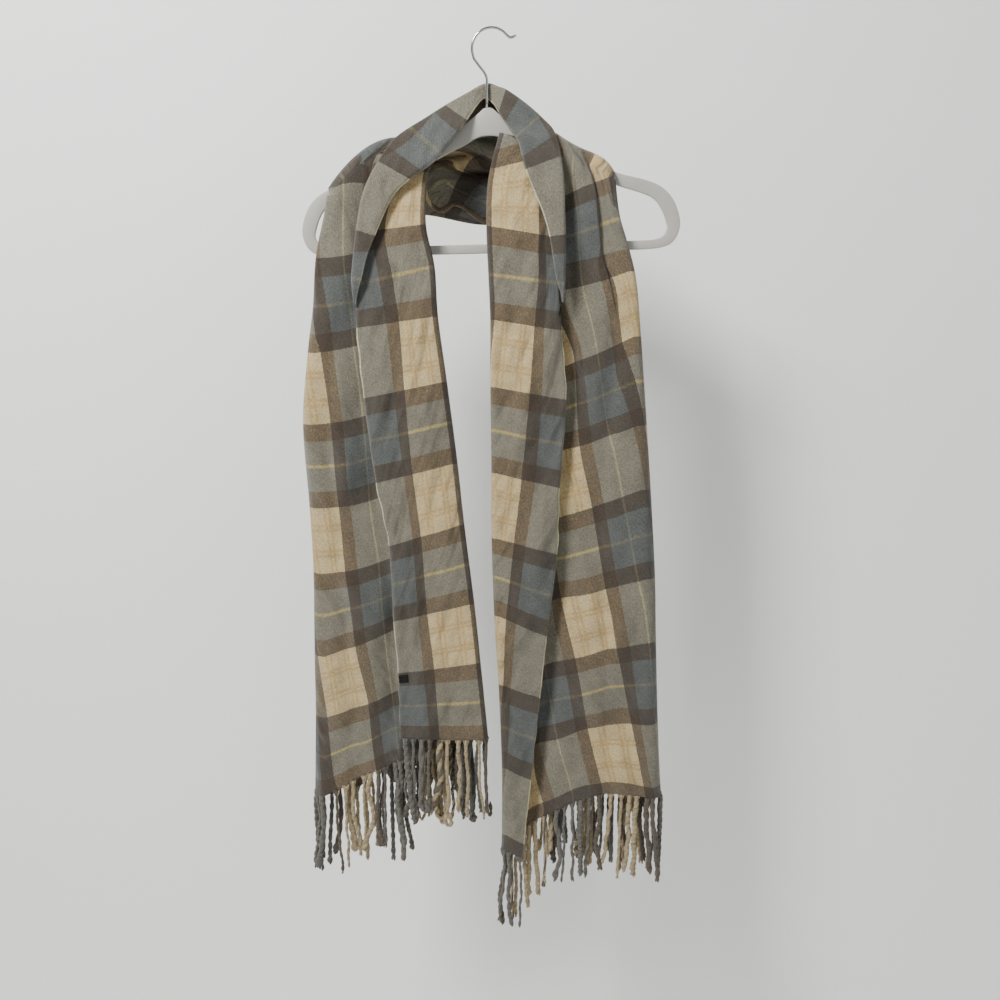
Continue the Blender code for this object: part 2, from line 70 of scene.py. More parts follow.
# %% Small helpers for shader nodes
def add_node(tree, kind, **settings):
    """A new node with its settings."""
    node = tree.nodes.new(kind)
    for name, value in settings.items():
        setattr(node, name, value)
    return node


def feed(tree, socket, value):
    """Give a socket a link or a plain value."""
    if isinstance(value, bpy.types.NodeSocket):
        tree.links.new(value, socket)
    else:
        socket.default_value = value


def calc(tree, operation, first, second=0.0, third=0.0, clamp=False):
    """A maths node on sockets or numbers."""
    node = add_node(tree, "ShaderNodeMath", operation=operation, use_clamp=clamp)
    for socket, value in zip(node.inputs, (first, second, third)):
        feed(tree, socket, value)
    return node.outputs[0]


def times(tree, *values):
    """The product of sockets and numbers."""
    total = values[0]
    for value in values[1:]:
        total = calc(tree, "MULTIPLY", total, value)
    return total


def blend_colours(tree, amount, first, second, kind="MIX"):
    """A mix of two colours."""
    node = add_node(tree, "ShaderNodeMix", data_type="RGBA", blend_type=kind)
    feed(tree, node.inputs["Factor"], amount)
    feed(tree, node.inputs[6], first)
    feed(tree, node.inputs[7], second)
    return node.outputs[2]


def place(tree, x, y, z=0.0):
    """Three numbers as one vector."""
    node = add_node(tree, "ShaderNodeCombineXYZ")
    for socket, value in zip(node.inputs, (x, y, z)):
        feed(tree, socket, value)
    return node.outputs[0]


def speckle(tree, vector, scale, detail=2.0, roughness=0.5):
    """A noise texture's value, about 0.5 in the middle."""
    node = add_node(tree, "ShaderNodeTexNoise")
    feed(tree, node.inputs["Vector"], vector)
    node.inputs["Scale"].default_value = scale
    node.inputs["Detail"].default_value = detail
    node.inputs["Roughness"].default_value = roughness
    return node.outputs["Fac"]


def new_group(name, inputs, outputs):
    """An empty shader group with named sockets."""
    group = bpy.data.node_groups.new(name, "ShaderNodeTree")
    for label, value in inputs:
        socket = group.interface.new_socket(label, in_out="INPUT", socket_type="NodeSocketFloat")
        socket.default_value = value
    for label, kind in outputs:
        group.interface.new_socket(label, in_out="OUTPUT", socket_type=kind)
    return group, group.nodes.new("NodeGroupInput"), group.nodes.new("NodeGroupOutput")


def use_group(tree, group, **values):
    """A shader group placed in a material."""
    node = add_node(tree, "ShaderNodeGroup", node_tree=group)
    for name, value in values.items():
        feed(tree, node.inputs[name], value)
    return node


def new_material(name, roughness, metallic=0.0):
    """A material, its tree and its shader."""
    material = bpy.data.materials.new(name)
    material.use_nodes = True
    shader = material.node_tree.nodes["Principled BSDF"]
    shader.inputs["Roughness"].default_value = roughness
    shader.inputs["Metallic"].default_value = metallic
    return material, material.node_tree, shader


def add_bump(tree, shader, height, distance, strength=1.0, under=None):
    """Small relief from a height, on top of another one where it is given."""
    bump = add_node(tree, "ShaderNodeBump")
    bump.inputs["Strength"].default_value = strength
    bump.inputs["Distance"].default_value = distance
    feed(tree, bump.inputs["Height"], height)
    if under is not None:
        tree.links.new(under, bump.inputs["Normal"])
    tree.links.new(bump.outputs["Normal"], shader.inputs["Normal"])
    return bump.outputs["Normal"]


def seen(colour):
    """A colour as a screen shows it (0 to 255), as the shader's own linear colour."""
    parts = [c / 255 for c in colour]
    return (*(((c + 0.055) / 1.055) ** 2.4 if c > 0.04 else c / 12.92 for c in parts), 1.0)


print("shader helpers ready")

# %% The wall, the floor and the lights
WALL_BEHIND = 0.26              # metres, as are the next five
FLOOR_BELOW = -1.50
STAGE_HALF = 3.2
STAGE_TOP = 1.6
STAGE_FRONT = -3.6
SWEEP = 0.12                    # radius of the turn from the floor to the wall
SWEEP_STEPS = 8
WALL_SHADES = [(240, 240, 237), (244, 244, 242)]
GLOW_COLOUR = (0.97, 1.0, 0.97, 1)
GLOW = 0.09                     # the wall gives a little light of its own
AIM = (0, 0, -0.45)             # where the lamps point
AIR_COLOUR = (0.80, 0.82, 0.85, 1)
AIR_LIGHT = 0.38                # strength of the light from all around


def add_stage():
    """A floor that turns up into a wall, as one sheet."""
    profile = [(STAGE_FRONT, FLOOR_BELOW), (WALL_BEHIND - SWEEP, FLOOR_BELOW)]
    for step in range(1, SWEEP_STEPS + 1):
        angle = math.pi / 2 * step / SWEEP_STEPS
        profile.append((WALL_BEHIND - SWEEP + SWEEP * math.sin(angle),
                        FLOOR_BELOW + SWEEP - SWEEP * math.cos(angle)))
    profile.append((WALL_BEHIND, STAGE_TOP))
    maker = bmesh.new()
    sides = [[maker.verts.new((x, y, z)) for y, z in profile] for x in (-STAGE_HALF, STAGE_HALF)]
    for a, b, c, d in zip(sides[0], sides[0][1:], sides[1][1:], sides[1]):
        maker.faces.new((a, d, c, b))
    mesh = bpy.data.meshes.new("backdrop")
    maker.to_mesh(mesh)
    maker.free()
    mesh.shade_smooth()
    return bpy.data.objects.new("backdrop", mesh)


backdrop = add_stage()
bpy.context.scene.collection.objects.link(backdrop)
wall_paint, tree, shader = new_material("wall paint", 0.9)
mottle = speckle(tree, add_node(tree, "ShaderNodeTexCoord").outputs["Object"], 3.0)
feed(tree, shader.inputs["Base Color"],
     blend_colours(tree, mottle, *[seen(shade) for shade in WALL_SHADES]))
shader.inputs["Emission Color"].default_value = GLOW_COLOUR
shader.inputs["Emission Strength"].default_value = GLOW
clear = add_node(tree, "ShaderNodeBsdfTransparent")
sides = add_node(tree, "ShaderNodeMixShader")
behind = calc(tree, "MAXIMUM", add_node(tree, "ShaderNodeNewGeometry").outputs["Backfacing"],
              add_node(tree, "ShaderNodeLightPath").outputs["Is Shadow Ray"])
tree.links.new(behind, sides.inputs[0])
tree.links.new(shader.outputs[0], sides.inputs[1])
tree.links.new(clear.outputs[0], sides.inputs[2])
tree.links.new(sides.outputs[0], tree.nodes["Material Output"].inputs["Surface"])
backdrop.data.materials.append(wall_paint)

Light = namedtuple("Light", "name x y z size watts")
LIGHTS = [
    Light("key", -0.9, -1.15, 0.95, 0.5, 64),
    Light("fill", 1.3, -2.0, 0.6, 1.8, 10),
    Light("back", 0.5, 2.2, 0.7, 2.0, 40),
]
for light in LIGHTS:
    lamp = bpy.data.lights.new(light.name, "AREA")
    lamp.size = light.size
    lamp.energy = light.watts
    holder = bpy.data.objects.new(light.name, lamp)
    holder.location = (light.x, light.y, light.z)
    aim = Vector(AIM) - holder.location
    holder.rotation_euler = aim.to_track_quat("-Z", "Y").to_euler()
    bpy.context.scene.collection.objects.link(holder)
world = bpy.data.worlds.new("studio air")
bpy.context.scene.world = world
world.use_nodes = True
world.node_tree.nodes["Background"].inputs["Color"].default_value = AIR_COLOUR
world.node_tree.nodes["Background"].inputs["Strength"].default_value = AIR_LIGHT
print("stage and", len(LIGHTS), "lights")

# %% [markdown]
# ## The check
# A woven check is two rows of stripes that cross: the threads along the cloth (the warp) and the
# threads across it (the weft).  Each place shows both, so its colour is the mean of the two.  A
# UV map holds each point's real place in the flat cloth, in metres, so the stripes follow every
# fold.  An image could hold the check, but two short lists of bands are sharper and smaller.

# %% The bands of the check
CREAM = (177, 157, 116)
BROWN = (58, 48, 37)
GREY = (77, 79, 76)
OCHRE = (150, 118, 62)
YELLOW = (182, 160, 92)
PALE_YELLOW = (170, 162, 116)
SELVAGE = (206, 196, 158)

WARP_REPEAT = 126.0             # mm across the cloth, as all in this cell is in mm
WARP_START = 52.0
WEFT_REPEAT = 176.0             # along the cloth
WEFT_START = -31.0
CLOTH_WIDTH = 661.0
EDGE_GREY = 38.0                # the plain grey band along each selvage
SELVAGE_WIDTH = 1.2             # the pale rim of one selvage
Band = namedtuple("Band", "start colour")
WARP_BANDS = [Band(0, CREAM), Band(53, BROWN), Band(67, GREY), Band(112, BROWN)]
WEFT_BANDS = [Band(0, CREAM), Band(76, BROWN), Band(96, GREY), Band(156, BROWN)]
Line = namedtuple("Line", "middle half")
WARP_OCHRE = [Line(12.5, 2.2), Line(18.0, 2.2), Line(36.5, 2.2), Line(42.0, 2.2)]
WEFT_OCHRE = [Line(21.0, 2.4), Line(26.5, 2.4), Line(50.5, 2.4), Line(56.0, 2.4)]
WARP_YELLOW = [Line(89.5, 1.3)]
WEFT_YELLOW = [Line(126.0, 2.5)]


def half_shade(colour):
    """The square root of a linear colour: two of them multiplied give the mean shade."""
    return tuple(math.sqrt(c) for c in seen(colour))


def band_ramp(tree, factor, bands, repeat):
    """A colour ramp with one stop for each band."""
    node = add_node(tree, "ShaderNodeValToRGB")
    node.color_ramp.interpolation = "CONSTANT"
    stops = node.color_ramp.elements
    stops[0].position, stops[0].color = 0.0, half_shade(bands[0].colour)
    stops[1].position, stops[1].color = bands[1].start / repeat, half_shade(bands[1].colour)
    for band in bands[2:]:
        stops.new(band.start / repeat).color = half_shade(band.colour)
    feed(tree, node.inputs["Fac"], factor)
    return node.outputs["Color"]


def line_mask(tree, spot, lines):
    """A soft mask of narrow lines at their places in mm."""
    total = None
    for line in lines:
        away = calc(tree, "ABSOLUTE", calc(tree, "SUBTRACT", spot, line.middle))
        near = calc(tree, "MULTIPLY_ADD", away, -1.0 / line.half, 1.0, clamp=True)
        total = near if total is None else calc(tree, "MAXIMUM", total, near)
    return calc(tree, "POWER", total, 0.6)


print(len(WARP_BANDS), "bands across and", len(WEFT_BANDS), "bands along")

# %% [markdown]
# ## Wool threads
# Close up, the cloth is a soft twill: fine slanting ribs with hairs brushed over them.  The ribs
# and the hairs are one group that gives a height and a patchy shade.  The cloth, the fringe and
# the label all use it, each with its own thread size.


# %% A group for brushed threads
RIB_STRAY = 1.6                 # mm that a rib strays to the side
RIB_HEIGHT = 0.45
HAIR_HEIGHT = 0.9
HAIR_SHADE = 1.4                # how far the shade changes from hair to hair ...
FLECK_SHADE = 1.2               # ... in small flecks ...
LUMP_SHADE = 0.55               # ... and over a few centimetres


def threads_group():
    """Ribs and hairs from a place in the cloth (in mm) and a rib size (in mm)."""
    group, given, made = new_group(
        "Brushed threads", [("Across", 0.0), ("Along", 0.0), ("Rib", 2.4)],
        [("Height", "NodeSocketFloat"), ("Twill", "NodeSocketFloat"),
         ("Shade", "NodeSocketFloat")])
    across, along = given.outputs["Across"], given.outputs["Along"]
    wander = speckle(group, place(group, across, along), 0.35, 2.0)
    slant = calc(group, "ADD", calc(group, "ADD", across, along), times(group, wander, RIB_STRAY))
    turn = calc(group, "DIVIDE", times(group, slant, 2 * math.pi), given.outputs["Rib"])
    twill = calc(group, "MULTIPLY_ADD", calc(group, "SINE", turn), 0.5, 0.5)
    drawn_out = place(group, times(group, across, 1.3), times(group, along, 0.45))
    hairs = speckle(group, drawn_out, 0.8, 3.0, 0.65)
    flecks = speckle(group, place(group, across, along, 7.0), 0.55, 2.0, 0.7)
    lumps = speckle(group, place(group, across, along), 0.05, 3.0)
    height = calc(group, "MULTIPLY_ADD", twill, RIB_HEIGHT, times(group, hairs, HAIR_HEIGHT))
    shade = 1.0
    for mask, amount in ((hairs, HAIR_SHADE), (flecks, FLECK_SHADE), (lumps, LUMP_SHADE)):
        shade = calc(group, "MULTIPLY_ADD", calc(group, "SUBTRACT", mask, 0.5), amount, shade)
    for name, value in (("Height", height), ("Twill", twill), ("Shade", shade)):
        feed(group, made.inputs[name], value)
    return group


THREADS = threads_group()
print("group", THREADS.name)


RAGGED = 1.8                    # mm that a band's edge strays
STREAKED = 0.4                  # part of the colour where one thread covers the other
STREAK_GAIN = 1.3
PANE_SHARE = 0.62               # how strongly the ochre lines show on cream
WARP_YARN = (0.4, 0.14)         # how much more a pale line shows on cream, and all over
WEFT_YARN = (0.62, 0.12)
RIM_YARN = (0.7, 0.12)


def check_group():
    """The check's colour from a place in the cloth, in mm."""
    group, given, made = new_group(
        "Woven check", [("Across", 0.0), ("Along", 0.0)],
        [("Colour", "NodeSocketColor"), ("Warp", "NodeSocketColor")])
    across, along = given.outputs["Across"], given.outputs["Along"]
    ragged = calc(group, "SUBTRACT", speckle(group, place(group, across, along), 0.7, 2.0), 0.5)
    u = calc(group, "MULTIPLY_ADD", ragged, RAGGED, across)
    w = calc(group, "MULTIPLY_ADD", ragged, -RAGGED, along)
    warp_place = calc(group, "FRACT", calc(group, "DIVIDE", calc(
        group, "ADD", u, WARP_REPEAT - WARP_START), WARP_REPEAT))
    weft_place = calc(group, "FRACT", calc(group, "DIVIDE", calc(
        group, "ADD", w, 10 * WEFT_REPEAT - WEFT_START), WEFT_REPEAT))
    warp = band_ramp(group, warp_place, WARP_BANDS, WARP_REPEAT)
    weft = band_ramp(group, weft_place, WEFT_BANDS, WEFT_REPEAT)
    near = calc(group, "LESS_THAN", u, EDGE_GREY)
    far = calc(group, "GREATER_THAN", u, CLOTH_WIDTH - EDGE_GREY)
    edge = calc(group, "MAXIMUM", near, far)
    warp = blend_colours(group, edge, warp, half_shade(GREY))
    mean = blend_colours(group, 1.0, warp, weft, "MULTIPLY")
    whole_warp = blend_colours(group, 1.0, warp, warp, "MULTIPLY")
    whole_weft = blend_colours(group, 1.0, weft, weft, "MULTIPLY")
    up_streaks = speckle(group, place(group, across, times(group, along, 0.15)), 1.1)
    side_streaks = speckle(group, place(group, times(group, across, 0.3), along), 1.1)
    over = calc(group, "SUBTRACT", up_streaks, side_streaks)
    over = calc(group, "MULTIPLY_ADD", over, STREAK_GAIN, 0.02, clamp=True)
    dark = blend_colours(group, 1.0, whole_warp, whole_weft, "DARKEN")
    light = blend_colours(group, 1.0, whole_warp, whole_weft, "LIGHTEN")
    colour = blend_colours(group, STREAKED, mean, blend_colours(group, over, dark, light))

    warp_mm = times(group, warp_place, WARP_REPEAT)
    weft_mm = times(group, weft_place, WEFT_REPEAT)
    inner = calc(group, "SUBTRACT", 1.0, edge)
    cream_warp = times(group, inner, calc(group, "LESS_THAN", warp_mm, WARP_BANDS[1].start))
    cream_weft = calc(group, "LESS_THAN", weft_mm, WEFT_BANDS[1].start)
    uneven = speckle(group, place(group, across, times(group, along, 0.4), 3.0), 0.3, 2.0)
    patchy = calc(group, "MULTIPLY_ADD", uneven, 1.2, 0.2, clamp=True)
    pane = calc(group, "ADD", line_mask(group, warp_mm, WARP_OCHRE),
                line_mask(group, weft_mm, WEFT_OCHRE), clamp=True)
    pane = times(group, pane, cream_warp, cream_weft, patchy, PANE_SHARE)
    yarn = times(group, inner, patchy, line_mask(group, warp_mm, WARP_YELLOW),
                 calc(group, "MULTIPLY_ADD", cream_weft, *WARP_YARN))
    bright = times(group, patchy, line_mask(group, weft_mm, WEFT_YELLOW),
                   calc(group, "MULTIPLY_ADD", cream_warp, *WEFT_YARN))
    rim = times(group, patchy, calc(group, "LESS_THAN", across, SELVAGE_WIDTH),
                calc(group, "MULTIPLY_ADD", cream_weft, *RIM_YARN))
    for mask, paint in ((pane, OCHRE), (yarn, PALE_YELLOW), (bright, YELLOW), (rim, SELVAGE)):
        colour = blend_colours(group, mask, colour, seen(paint))
    feed(group, made.inputs["Colour"], colour)
    feed(group, made.inputs["Warp"], whole_warp)
    return group


CHECK = check_group()
print("group", CHECK.name)


# %% The brushed cloth
SLACK_RELIEF = 0.022            # metres: broad soft swells of loose cloth ...
CREASE_RELIEF = 0.007           # ... slanting creases ...
THREAD_RELIEF = 0.0005          # ... and the ribs and hairs
WOOL_SPECULAR = 0.2


def cloth_places(tree):
    """The place in the flat cloth, in mm, from the UV map."""
    spot = add_node(tree, "ShaderNodeUVMap", uv_map="threads")
    parts = add_node(tree, "ShaderNodeSeparateXYZ")
    tree.links.new(spot.outputs["UV"], parts.inputs[0])
    return [times(tree, parts.outputs[k], 1 / MM) for k in range(2)]


def shade_colour(tree, colour, threads):
    """A colour under the patchy shade of the threads."""
    return blend_colours(tree, 1.0, colour, place(tree, *[threads.outputs["Shade"]] * 3),
                         "MULTIPLY")


def cloth_material():
    """Brushed wool with the check."""
    material, tree, shader = new_material("checked wool", 0.92)
    across, along = cloth_places(tree)
    check = use_group(tree, CHECK, Across=across, Along=along)
    threads = use_group(tree, THREADS, Across=across, Along=along)
    feed(tree, shader.inputs["Base Color"], shade_colour(tree, check.outputs["Colour"], threads))
    slack = speckle(tree, place(tree, across, times(tree, along, 0.35)), 0.020, 1.5)
    creased = speckle(tree, place(tree, calc(tree, "MULTIPLY_ADD", along, 0.45, across),
                                  times(tree, along, 0.3), 5.0), 0.05, 1.5)
    soft = add_bump(tree, shader, slack, SLACK_RELIEF)
    soft = add_bump(tree, shader, creased, CREASE_RELIEF, 1.0, soft)
    add_bump(tree, shader, threads.outputs["Height"], THREAD_RELIEF, 0.9, soft)
    shader.inputs["Sheen Weight"].default_value = 0.18
    shader.inputs["Sheen Roughness"].default_value = 0.6
    shader.inputs["Specular IOR Level"].default_value = WOOL_SPECULAR
    return material


CHECKED_WOOL = cloth_material()
print("material", CHECKED_WOOL.name)

# %% [markdown]
# ## The folded tails
# Each tail is folded in three across its width: a narrow front layer, a wide middle layer and a
# back layer that hangs in waves.  The table has a row for each weft line that crosses the tail.
# A cloth simulation could find such folds, but it would not give back the folds of this very
# scarf, so the lines are measured and a smooth curve runs through them.

# %% The weft lines of the left tail
# In millimetres: outer and inner edge of the front layer, the place where the middle layer comes
# out from behind it, the outer fold, the depths of the layers, the back layer's wave, a crease.
Weft = namedtuple("Weft", "front_x front_z fold_x fold_z edge_x edge_z side_x side_z "
                          "front_y middle_y back_y wave crease_x crease")
LEFT_WEFTS = [
    Weft(-104, -130, -66, -141, -126, -130, -179, -171, -21.5, -15.0, -8.5, 0.4, -150, 0),
    Weft(-112, -148, -70, -154, -138, -154, -182, -189, -25.5, -18.5, -9.8, 0.6, -160, 0.8),
    Weft(-134, -209, -72, -202, -146, -231, -193, -237, -30.0, -22.0, -11.5, 1.0, -168, 1.2),
    Weft(-146, -265, -63, -247, -148, -282, -198, -289, -33.0, -24.5, -11.0, 3.0, -176, 1.8),
    Weft(-149, -312, -60, -300, -152, -333, -206, -340, -35.0, -26.0, -9.0, 6.0, -182, 2.5),
    Weft(-143, -389, -51, -371, -141, -410, -215, -420, -36.5, -27.0, -6.0, 9.0, -186, 3),
    Weft(-132, -486, -40, -464, -131, -507, -212, -518, -37.0, -27.0, -3.0, 12.0, -184, 3),
    Weft(-119, -560, -33, -535, -122, -580, -211, -596, -37.0, -27.0, -1.0, 14.0, -180, 2.5),
    Weft(-116, -652, -22, -631, -117, -669, -214, -700, -37.5, -27.0, 0.0, 15.0, -176, 2.5),
    Weft(-112, -716, -15, -704, -118, -748, -216, -778, -38.0, -27.0, 1.0, 16.0, -172, 3),
    Weft(-112, -800, -6, -803, -123, -842, -221, -883, -38.0, -27.0, 2.0, 16.0, -170, 3),
]

# %% The weft lines of the right tail
RIGHT_WEFTS = [
    Weft(60, -128, 9, -107, 90, -131, 134, -153, -18.5, -13.5, -8.5, 0.4, 104, 3.4),
    Weft(66, -160, -3, -156, 82, -158, 136, -174, -26.0, -19.0, -10.0, 0.6, 111, 5.0),
    Weft(68, -215, -5, -204, 77, -190, 140, -196, -30.0, -21.0, -11.5, 1.0, 115, 5.6),
    Weft(74, -264, -3, -255, 77, -240, 149, -224, -32.5, -23.0, -12.0, 2.0, 119, 5.6),
    Weft(77, -315, -1, -304, 77, -292, 159, -262, -35.0, -25.0, -11.0, 4.0, 131, 4.6),
    Weft(83, -391, -1, -377, 90, -352, 166, -322, -36.5, -26.5, -8.0, 8.0, 142, 2.6),
    Weft(77, -492, 0, -475, 81, -452, 176, -422, -37.0, -27.0, -5.0, 10.0, 132, 2.6),
    Weft(75, -570, 0, -551, 80, -529, 183, -496, -37.0, -27.0, -2.5, 12.0, 126, 2.6),
    Weft(64, -671, 3, -646, 74, -631, 192, -604, -37.5, -27.0, -1.0, 14.0, 132, 2.6),
    Weft(57, -748, 8, -732, 63, -713, 196, -683, -38.0, -27.0, 0.5, 15.0, 138, 2.6),
    Weft(47, -856, 12, -841, 58, -816, 202, -789, -38.0, -27.0, 2.0, 16.0, 140, 2.6),
    Weft(39, -943, 12, -930, 46, -905, 208, -872, -38.0, -27.0, 2.0, 16.0, 142, 2.6),
    Weft(38, -963, 11, -952, 46, -925, 210, -887, -38.0, -27.0, 2.0, 16.0, 142, 2.6),
]
print(len(LEFT_WEFTS), "and", len(RIGHT_WEFTS), "weft lines")

# %% [markdown]
# ## Where the stripes lie
# The check has to meet the folds as it does on the real scarf.  For each weft line a second row
# gives its place along the cloth, and a few known places across it.  Between them the place is
# read off by straight steps, as a tailor's chalk marks would give it.

# %% The places of the threads
# Along the cloth at the front edge, the inner fold, the middle layer's edge and the outer fold;
# then pairs of x and place across the cloth: two on the front layer, three on the middle one.
Thread = namedtuple("Thread", "v_front v_fold v_edge v_side u_front one_x one_u two_x two_u u_fold "
                              "u_edge near_x near_u far_x far_u u_side")
LEFT_THREADS = [
    Thread(135, 135, 113, 150, 40, -98, 46, -93, 52, 110, 233, -160, 267.5, -170, 276, 284),
    Thread(154, 154, 140, 170, 40, -106, 46, -100, 52, 112, 245, -161, 267.5, -172, 278, 289),
    Thread(221, 221, 221, 221, 27, -128, 38, -115, 52, 113, 250, -163, 267.5, -178, 283, 298),
    Thread(271, 271, 271, 271, 8, -123, 38, -108, 52, 113, 257, -158, 267.5, -180, 289, 307),
    Thread(321, 321, 321, 321, 0, -116, 38, -102, 52, 113, 264, -155, 267.5, -191, 304, 321),
    Thread(397, 397, 397, 397, 0, -109, 38, -97, 52, 113, 262, -147, 267.5, -183, 304, 340),
    Thread(497, 497, 497, 497, 0, -100, 38, -90, 52, 113, 256, -142, 267.5, -177, 304, 347),
    Thread(573, 573, 573, 573, 0, -92, 38, -82, 52, 113, 256, -134, 267.5, -172, 304, 357),
    Thread(673, 673, 673, 673, 0, -87, 38, -76, 52, 113, 255, -129, 267.5, -163, 304, 370),
    Thread(749, 749, 749, 749, 0, -82, 38, -69, 52, 113, 262, -122, 267.5, -150, 304, 381),
    Thread(849, 849, 849, 849, 0, -75, 38, -64, 52, 113, 281, -143, 304, -189, 357, 390),
]
RIGHT_THREADS = [
    Thread(131, 94, 165, 210, 40, 54, 46, 29, 97, 110, 271, 101, 289, 107, 305, 372),
    Thread(160, 144, 193, 233, 40, 60, 46, 53, 52, 112, 260, 108, 289, 114, 306, 368),
    Thread(207, 207, 226, 257, 27, 58, 38, 51, 52, 113, 249, 112, 289, 118, 306, 357),
    Thread(257, 257, 283, 283, 8, 60, 38, 51, 52, 113, 247, 116, 289, 122, 306, 345),
    Thread(307, 307, 322, 317, 0, 58, 38, 47, 52, 112, 240, 104, 267.5, 137, 304, 336),
    Thread(383, 383, 383, 383, 0, 56, 38, 42, 52, 104, 226, 101, 245, 145, 304, 328),
    Thread(483, 483, 483, 483, 0, 49, 38, 33, 52, 96, 211, 113, 245, 134, 267.5, 312),
    Thread(559, 559, 559, 559, 0, 39, 38, 25, 52, 84, 194, 115, 231, 150, 267.5, 304),
    Thread(659, 659, 659, 659, 0, 28, 38, 16, 52, 72, 170, 133, 231, 171, 267.5, 293),
    Thread(735, 735, 735, 735, 0, 22, 38, 18, 44, 60, 142, 99, 178, 148, 231, 285),
    Thread(835, 835, 835, 835, 0, 35, 14, 25, 28, 46, 121, 116, 178, 169, 231, 278),
    Thread(911, 911, 911, 911, 0, 32, 9, 25, 17, 34, 88, 97, 141.5, 186, 231, 265),
    Thread(931, 931, 931, 931, 0, 31, 8, 24, 15, 31, 88, 99, 141.5, 189, 231, 263),
]
print("threads placed on", len(LEFT_THREADS) + len(RIGHT_THREADS), "weft lines")


# %% Curves through a table
def fine_rows(rows, steps):
    """The rows of a table with smooth steps between them."""
    rows = np.array(rows, float)
    ends = np.concatenate([rows[:1], rows, rows[-1:]])
    fine = []
    for i, count in enumerate(steps):
        p0, p1, p2, p3 = ends[i:i + 4]
        for t in np.arange(count) / count:
            fine.append((2 * t**3 - 3 * t**2 + 1) * p1 + (t**3 - 2 * t**2 + t) * (p2 - p0) / 2
                        + (3 * t**2 - 2 * t**3) * p2 + (t**3 - t**2) * (p3 - p1) / 2)
    fine.append(rows[-1])
    return np.array(fine)


def ease(t):
    """A smooth step from 0 to 1."""
    t = np.clip(t, 0.0, 1.0)
    return t * t * (3 - 2 * t)


def waves(seed, length, lean, count=7):
    """A soft uneven surface over a place in the cloth: a sum of long waves."""
    rng = np.random.default_rng(seed)
    angle = rng.normal(0.0, lean, count)
    size = length * rng.uniform(0.7, 1.6, count)
    phase = rng.uniform(0, 2 * np.pi, count)

    def height(u, v):
        total = np.zeros(np.broadcast(u, v).shape)
        for a, s, p in zip(angle, size, phase):
            total += np.sin(2 * np.pi * (u * np.cos(a) + v * np.sin(a)) / s + p)
        return total / math.sqrt(count)

    return height


print("ease(0.25) is", round(float(ease(0.25)), 3))

# %% The layers of a tail
WALL = 1.8                      # mm, thickness of the cloth
ROW_PITCH = 5.4                 # mm between rows of the mesh
FRONT_COLUMNS = 21              # columns of the mesh in each layer and fold
FOLD_COLUMNS = 7
MIDDLE_COLUMNS = 55
SIDE_COLUMNS = 9
BACK_COLUMNS = 46
FRONT_BOW = 1.5                 # mm that the front layer bows forward
FRONT_SWELL = 1.3               # mm, height of its soft waves
MIDDLE_SWELL = 2.0
SWELL_ROOM = 12                 # mm between the layers that gives them their full height
SELVAGE_STRAY = 0.5             # mm that the front selvage strays to the side
EDGE_KNEE = 0.8                 # how far a weft line has turned half-way behind the front layer
BACK_STOP = 16                  # mm that the back layer ends outside the inner fold
BACK_RISE = 25                  # mm that the back layer's far edge hangs higher than the fold
RISE_START = -200
RISE_LENGTH = 200
BACK_WAVES = 3.75               # waves across the back layer
BACK_SWELL = 1.45               # how much deeper they are than the CAD's
BACK_DRIFT = 0.2                # how far they stand back, as a part of their depth
BACK_UNEVEN = 0.08
GATHERS = 4                     # small folds of the middle layer that the front one hides
GATHER_DEPTH = 3.5              # mm
CREASE_WIDTH = 10
HOLLOW = 0.5                    # how far the middle layer sinks behind the front one's selvage
HOLLOW_DEEPEST = 7              # mm
HOLLOW_WIDTH = 17
LAP_START = 2.8                 # a right crease deeper than this has a lip ...
LAP_EASE = 1.5                  # ... in full where it is so many mm deeper again
LAP = 2.5                       # mm that the lip moves over the crease
LAP_DIP = 0.4                   # rise on the lip's near side, as a part of the crease
LAP_STEEP = 0.9
LAP_RUN = 15
LAP_SPREAD = 7                  # more columns of the mesh stand this near to the crease
LAP_CROWD = 3.5
FOLD_CLEAR = 0.18               # part of a layer, beside a fold, where creases start

front_waves = waves(11, 70, 0.5)
middle_waves = waves(12, 70, 0.5)
back_waves = waves(13, 120, 0.3)
selvage_waves = waves(14, 26, 1.4)


def parabola(x, x0, y0, x1, y1, x2, y2):
    """The parabola through three points."""
    return (y0 * (x - x1) * (x - x2) / ((x0 - x1) * (x0 - x2))
            + y1 * (x - x0) * (x - x2) / ((x1 - x0) * (x1 - x2))
            + y2 * (x - x0) * (x - x1) / ((x2 - x0) * (x2 - x1)))


def front_layer(w, t, side):
    """The front layer, from the selvage to the inner fold."""
    s = np.linspace(0, 1, FRONT_COLUMNS)
    radius = (w.middle_y - w.front_y) / 2
    end_x = w.fold_x + side * radius
    x = w.front_x + (end_x - w.front_x) * s
    z = w.front_z + (w.fold_z - w.front_z) * s
    v = t.v_front + (t.v_fold - t.v_front) * s
    u = np.interp(-side * x, -side * np.array([w.front_x, t.one_x, t.two_x, end_x]),
                  [t.u_front, t.one_u, t.two_u, t.u_fold - math.pi * radius / 2])
    y = w.front_y + (FRONT_SWELL * front_waves(u, v) - FRONT_BOW) * np.sin(np.pi * s)
    x = x + side * SELVAGE_STRAY * selvage_waves(0, v) * np.exp(-s * 8)
    return x, y, z, u, v


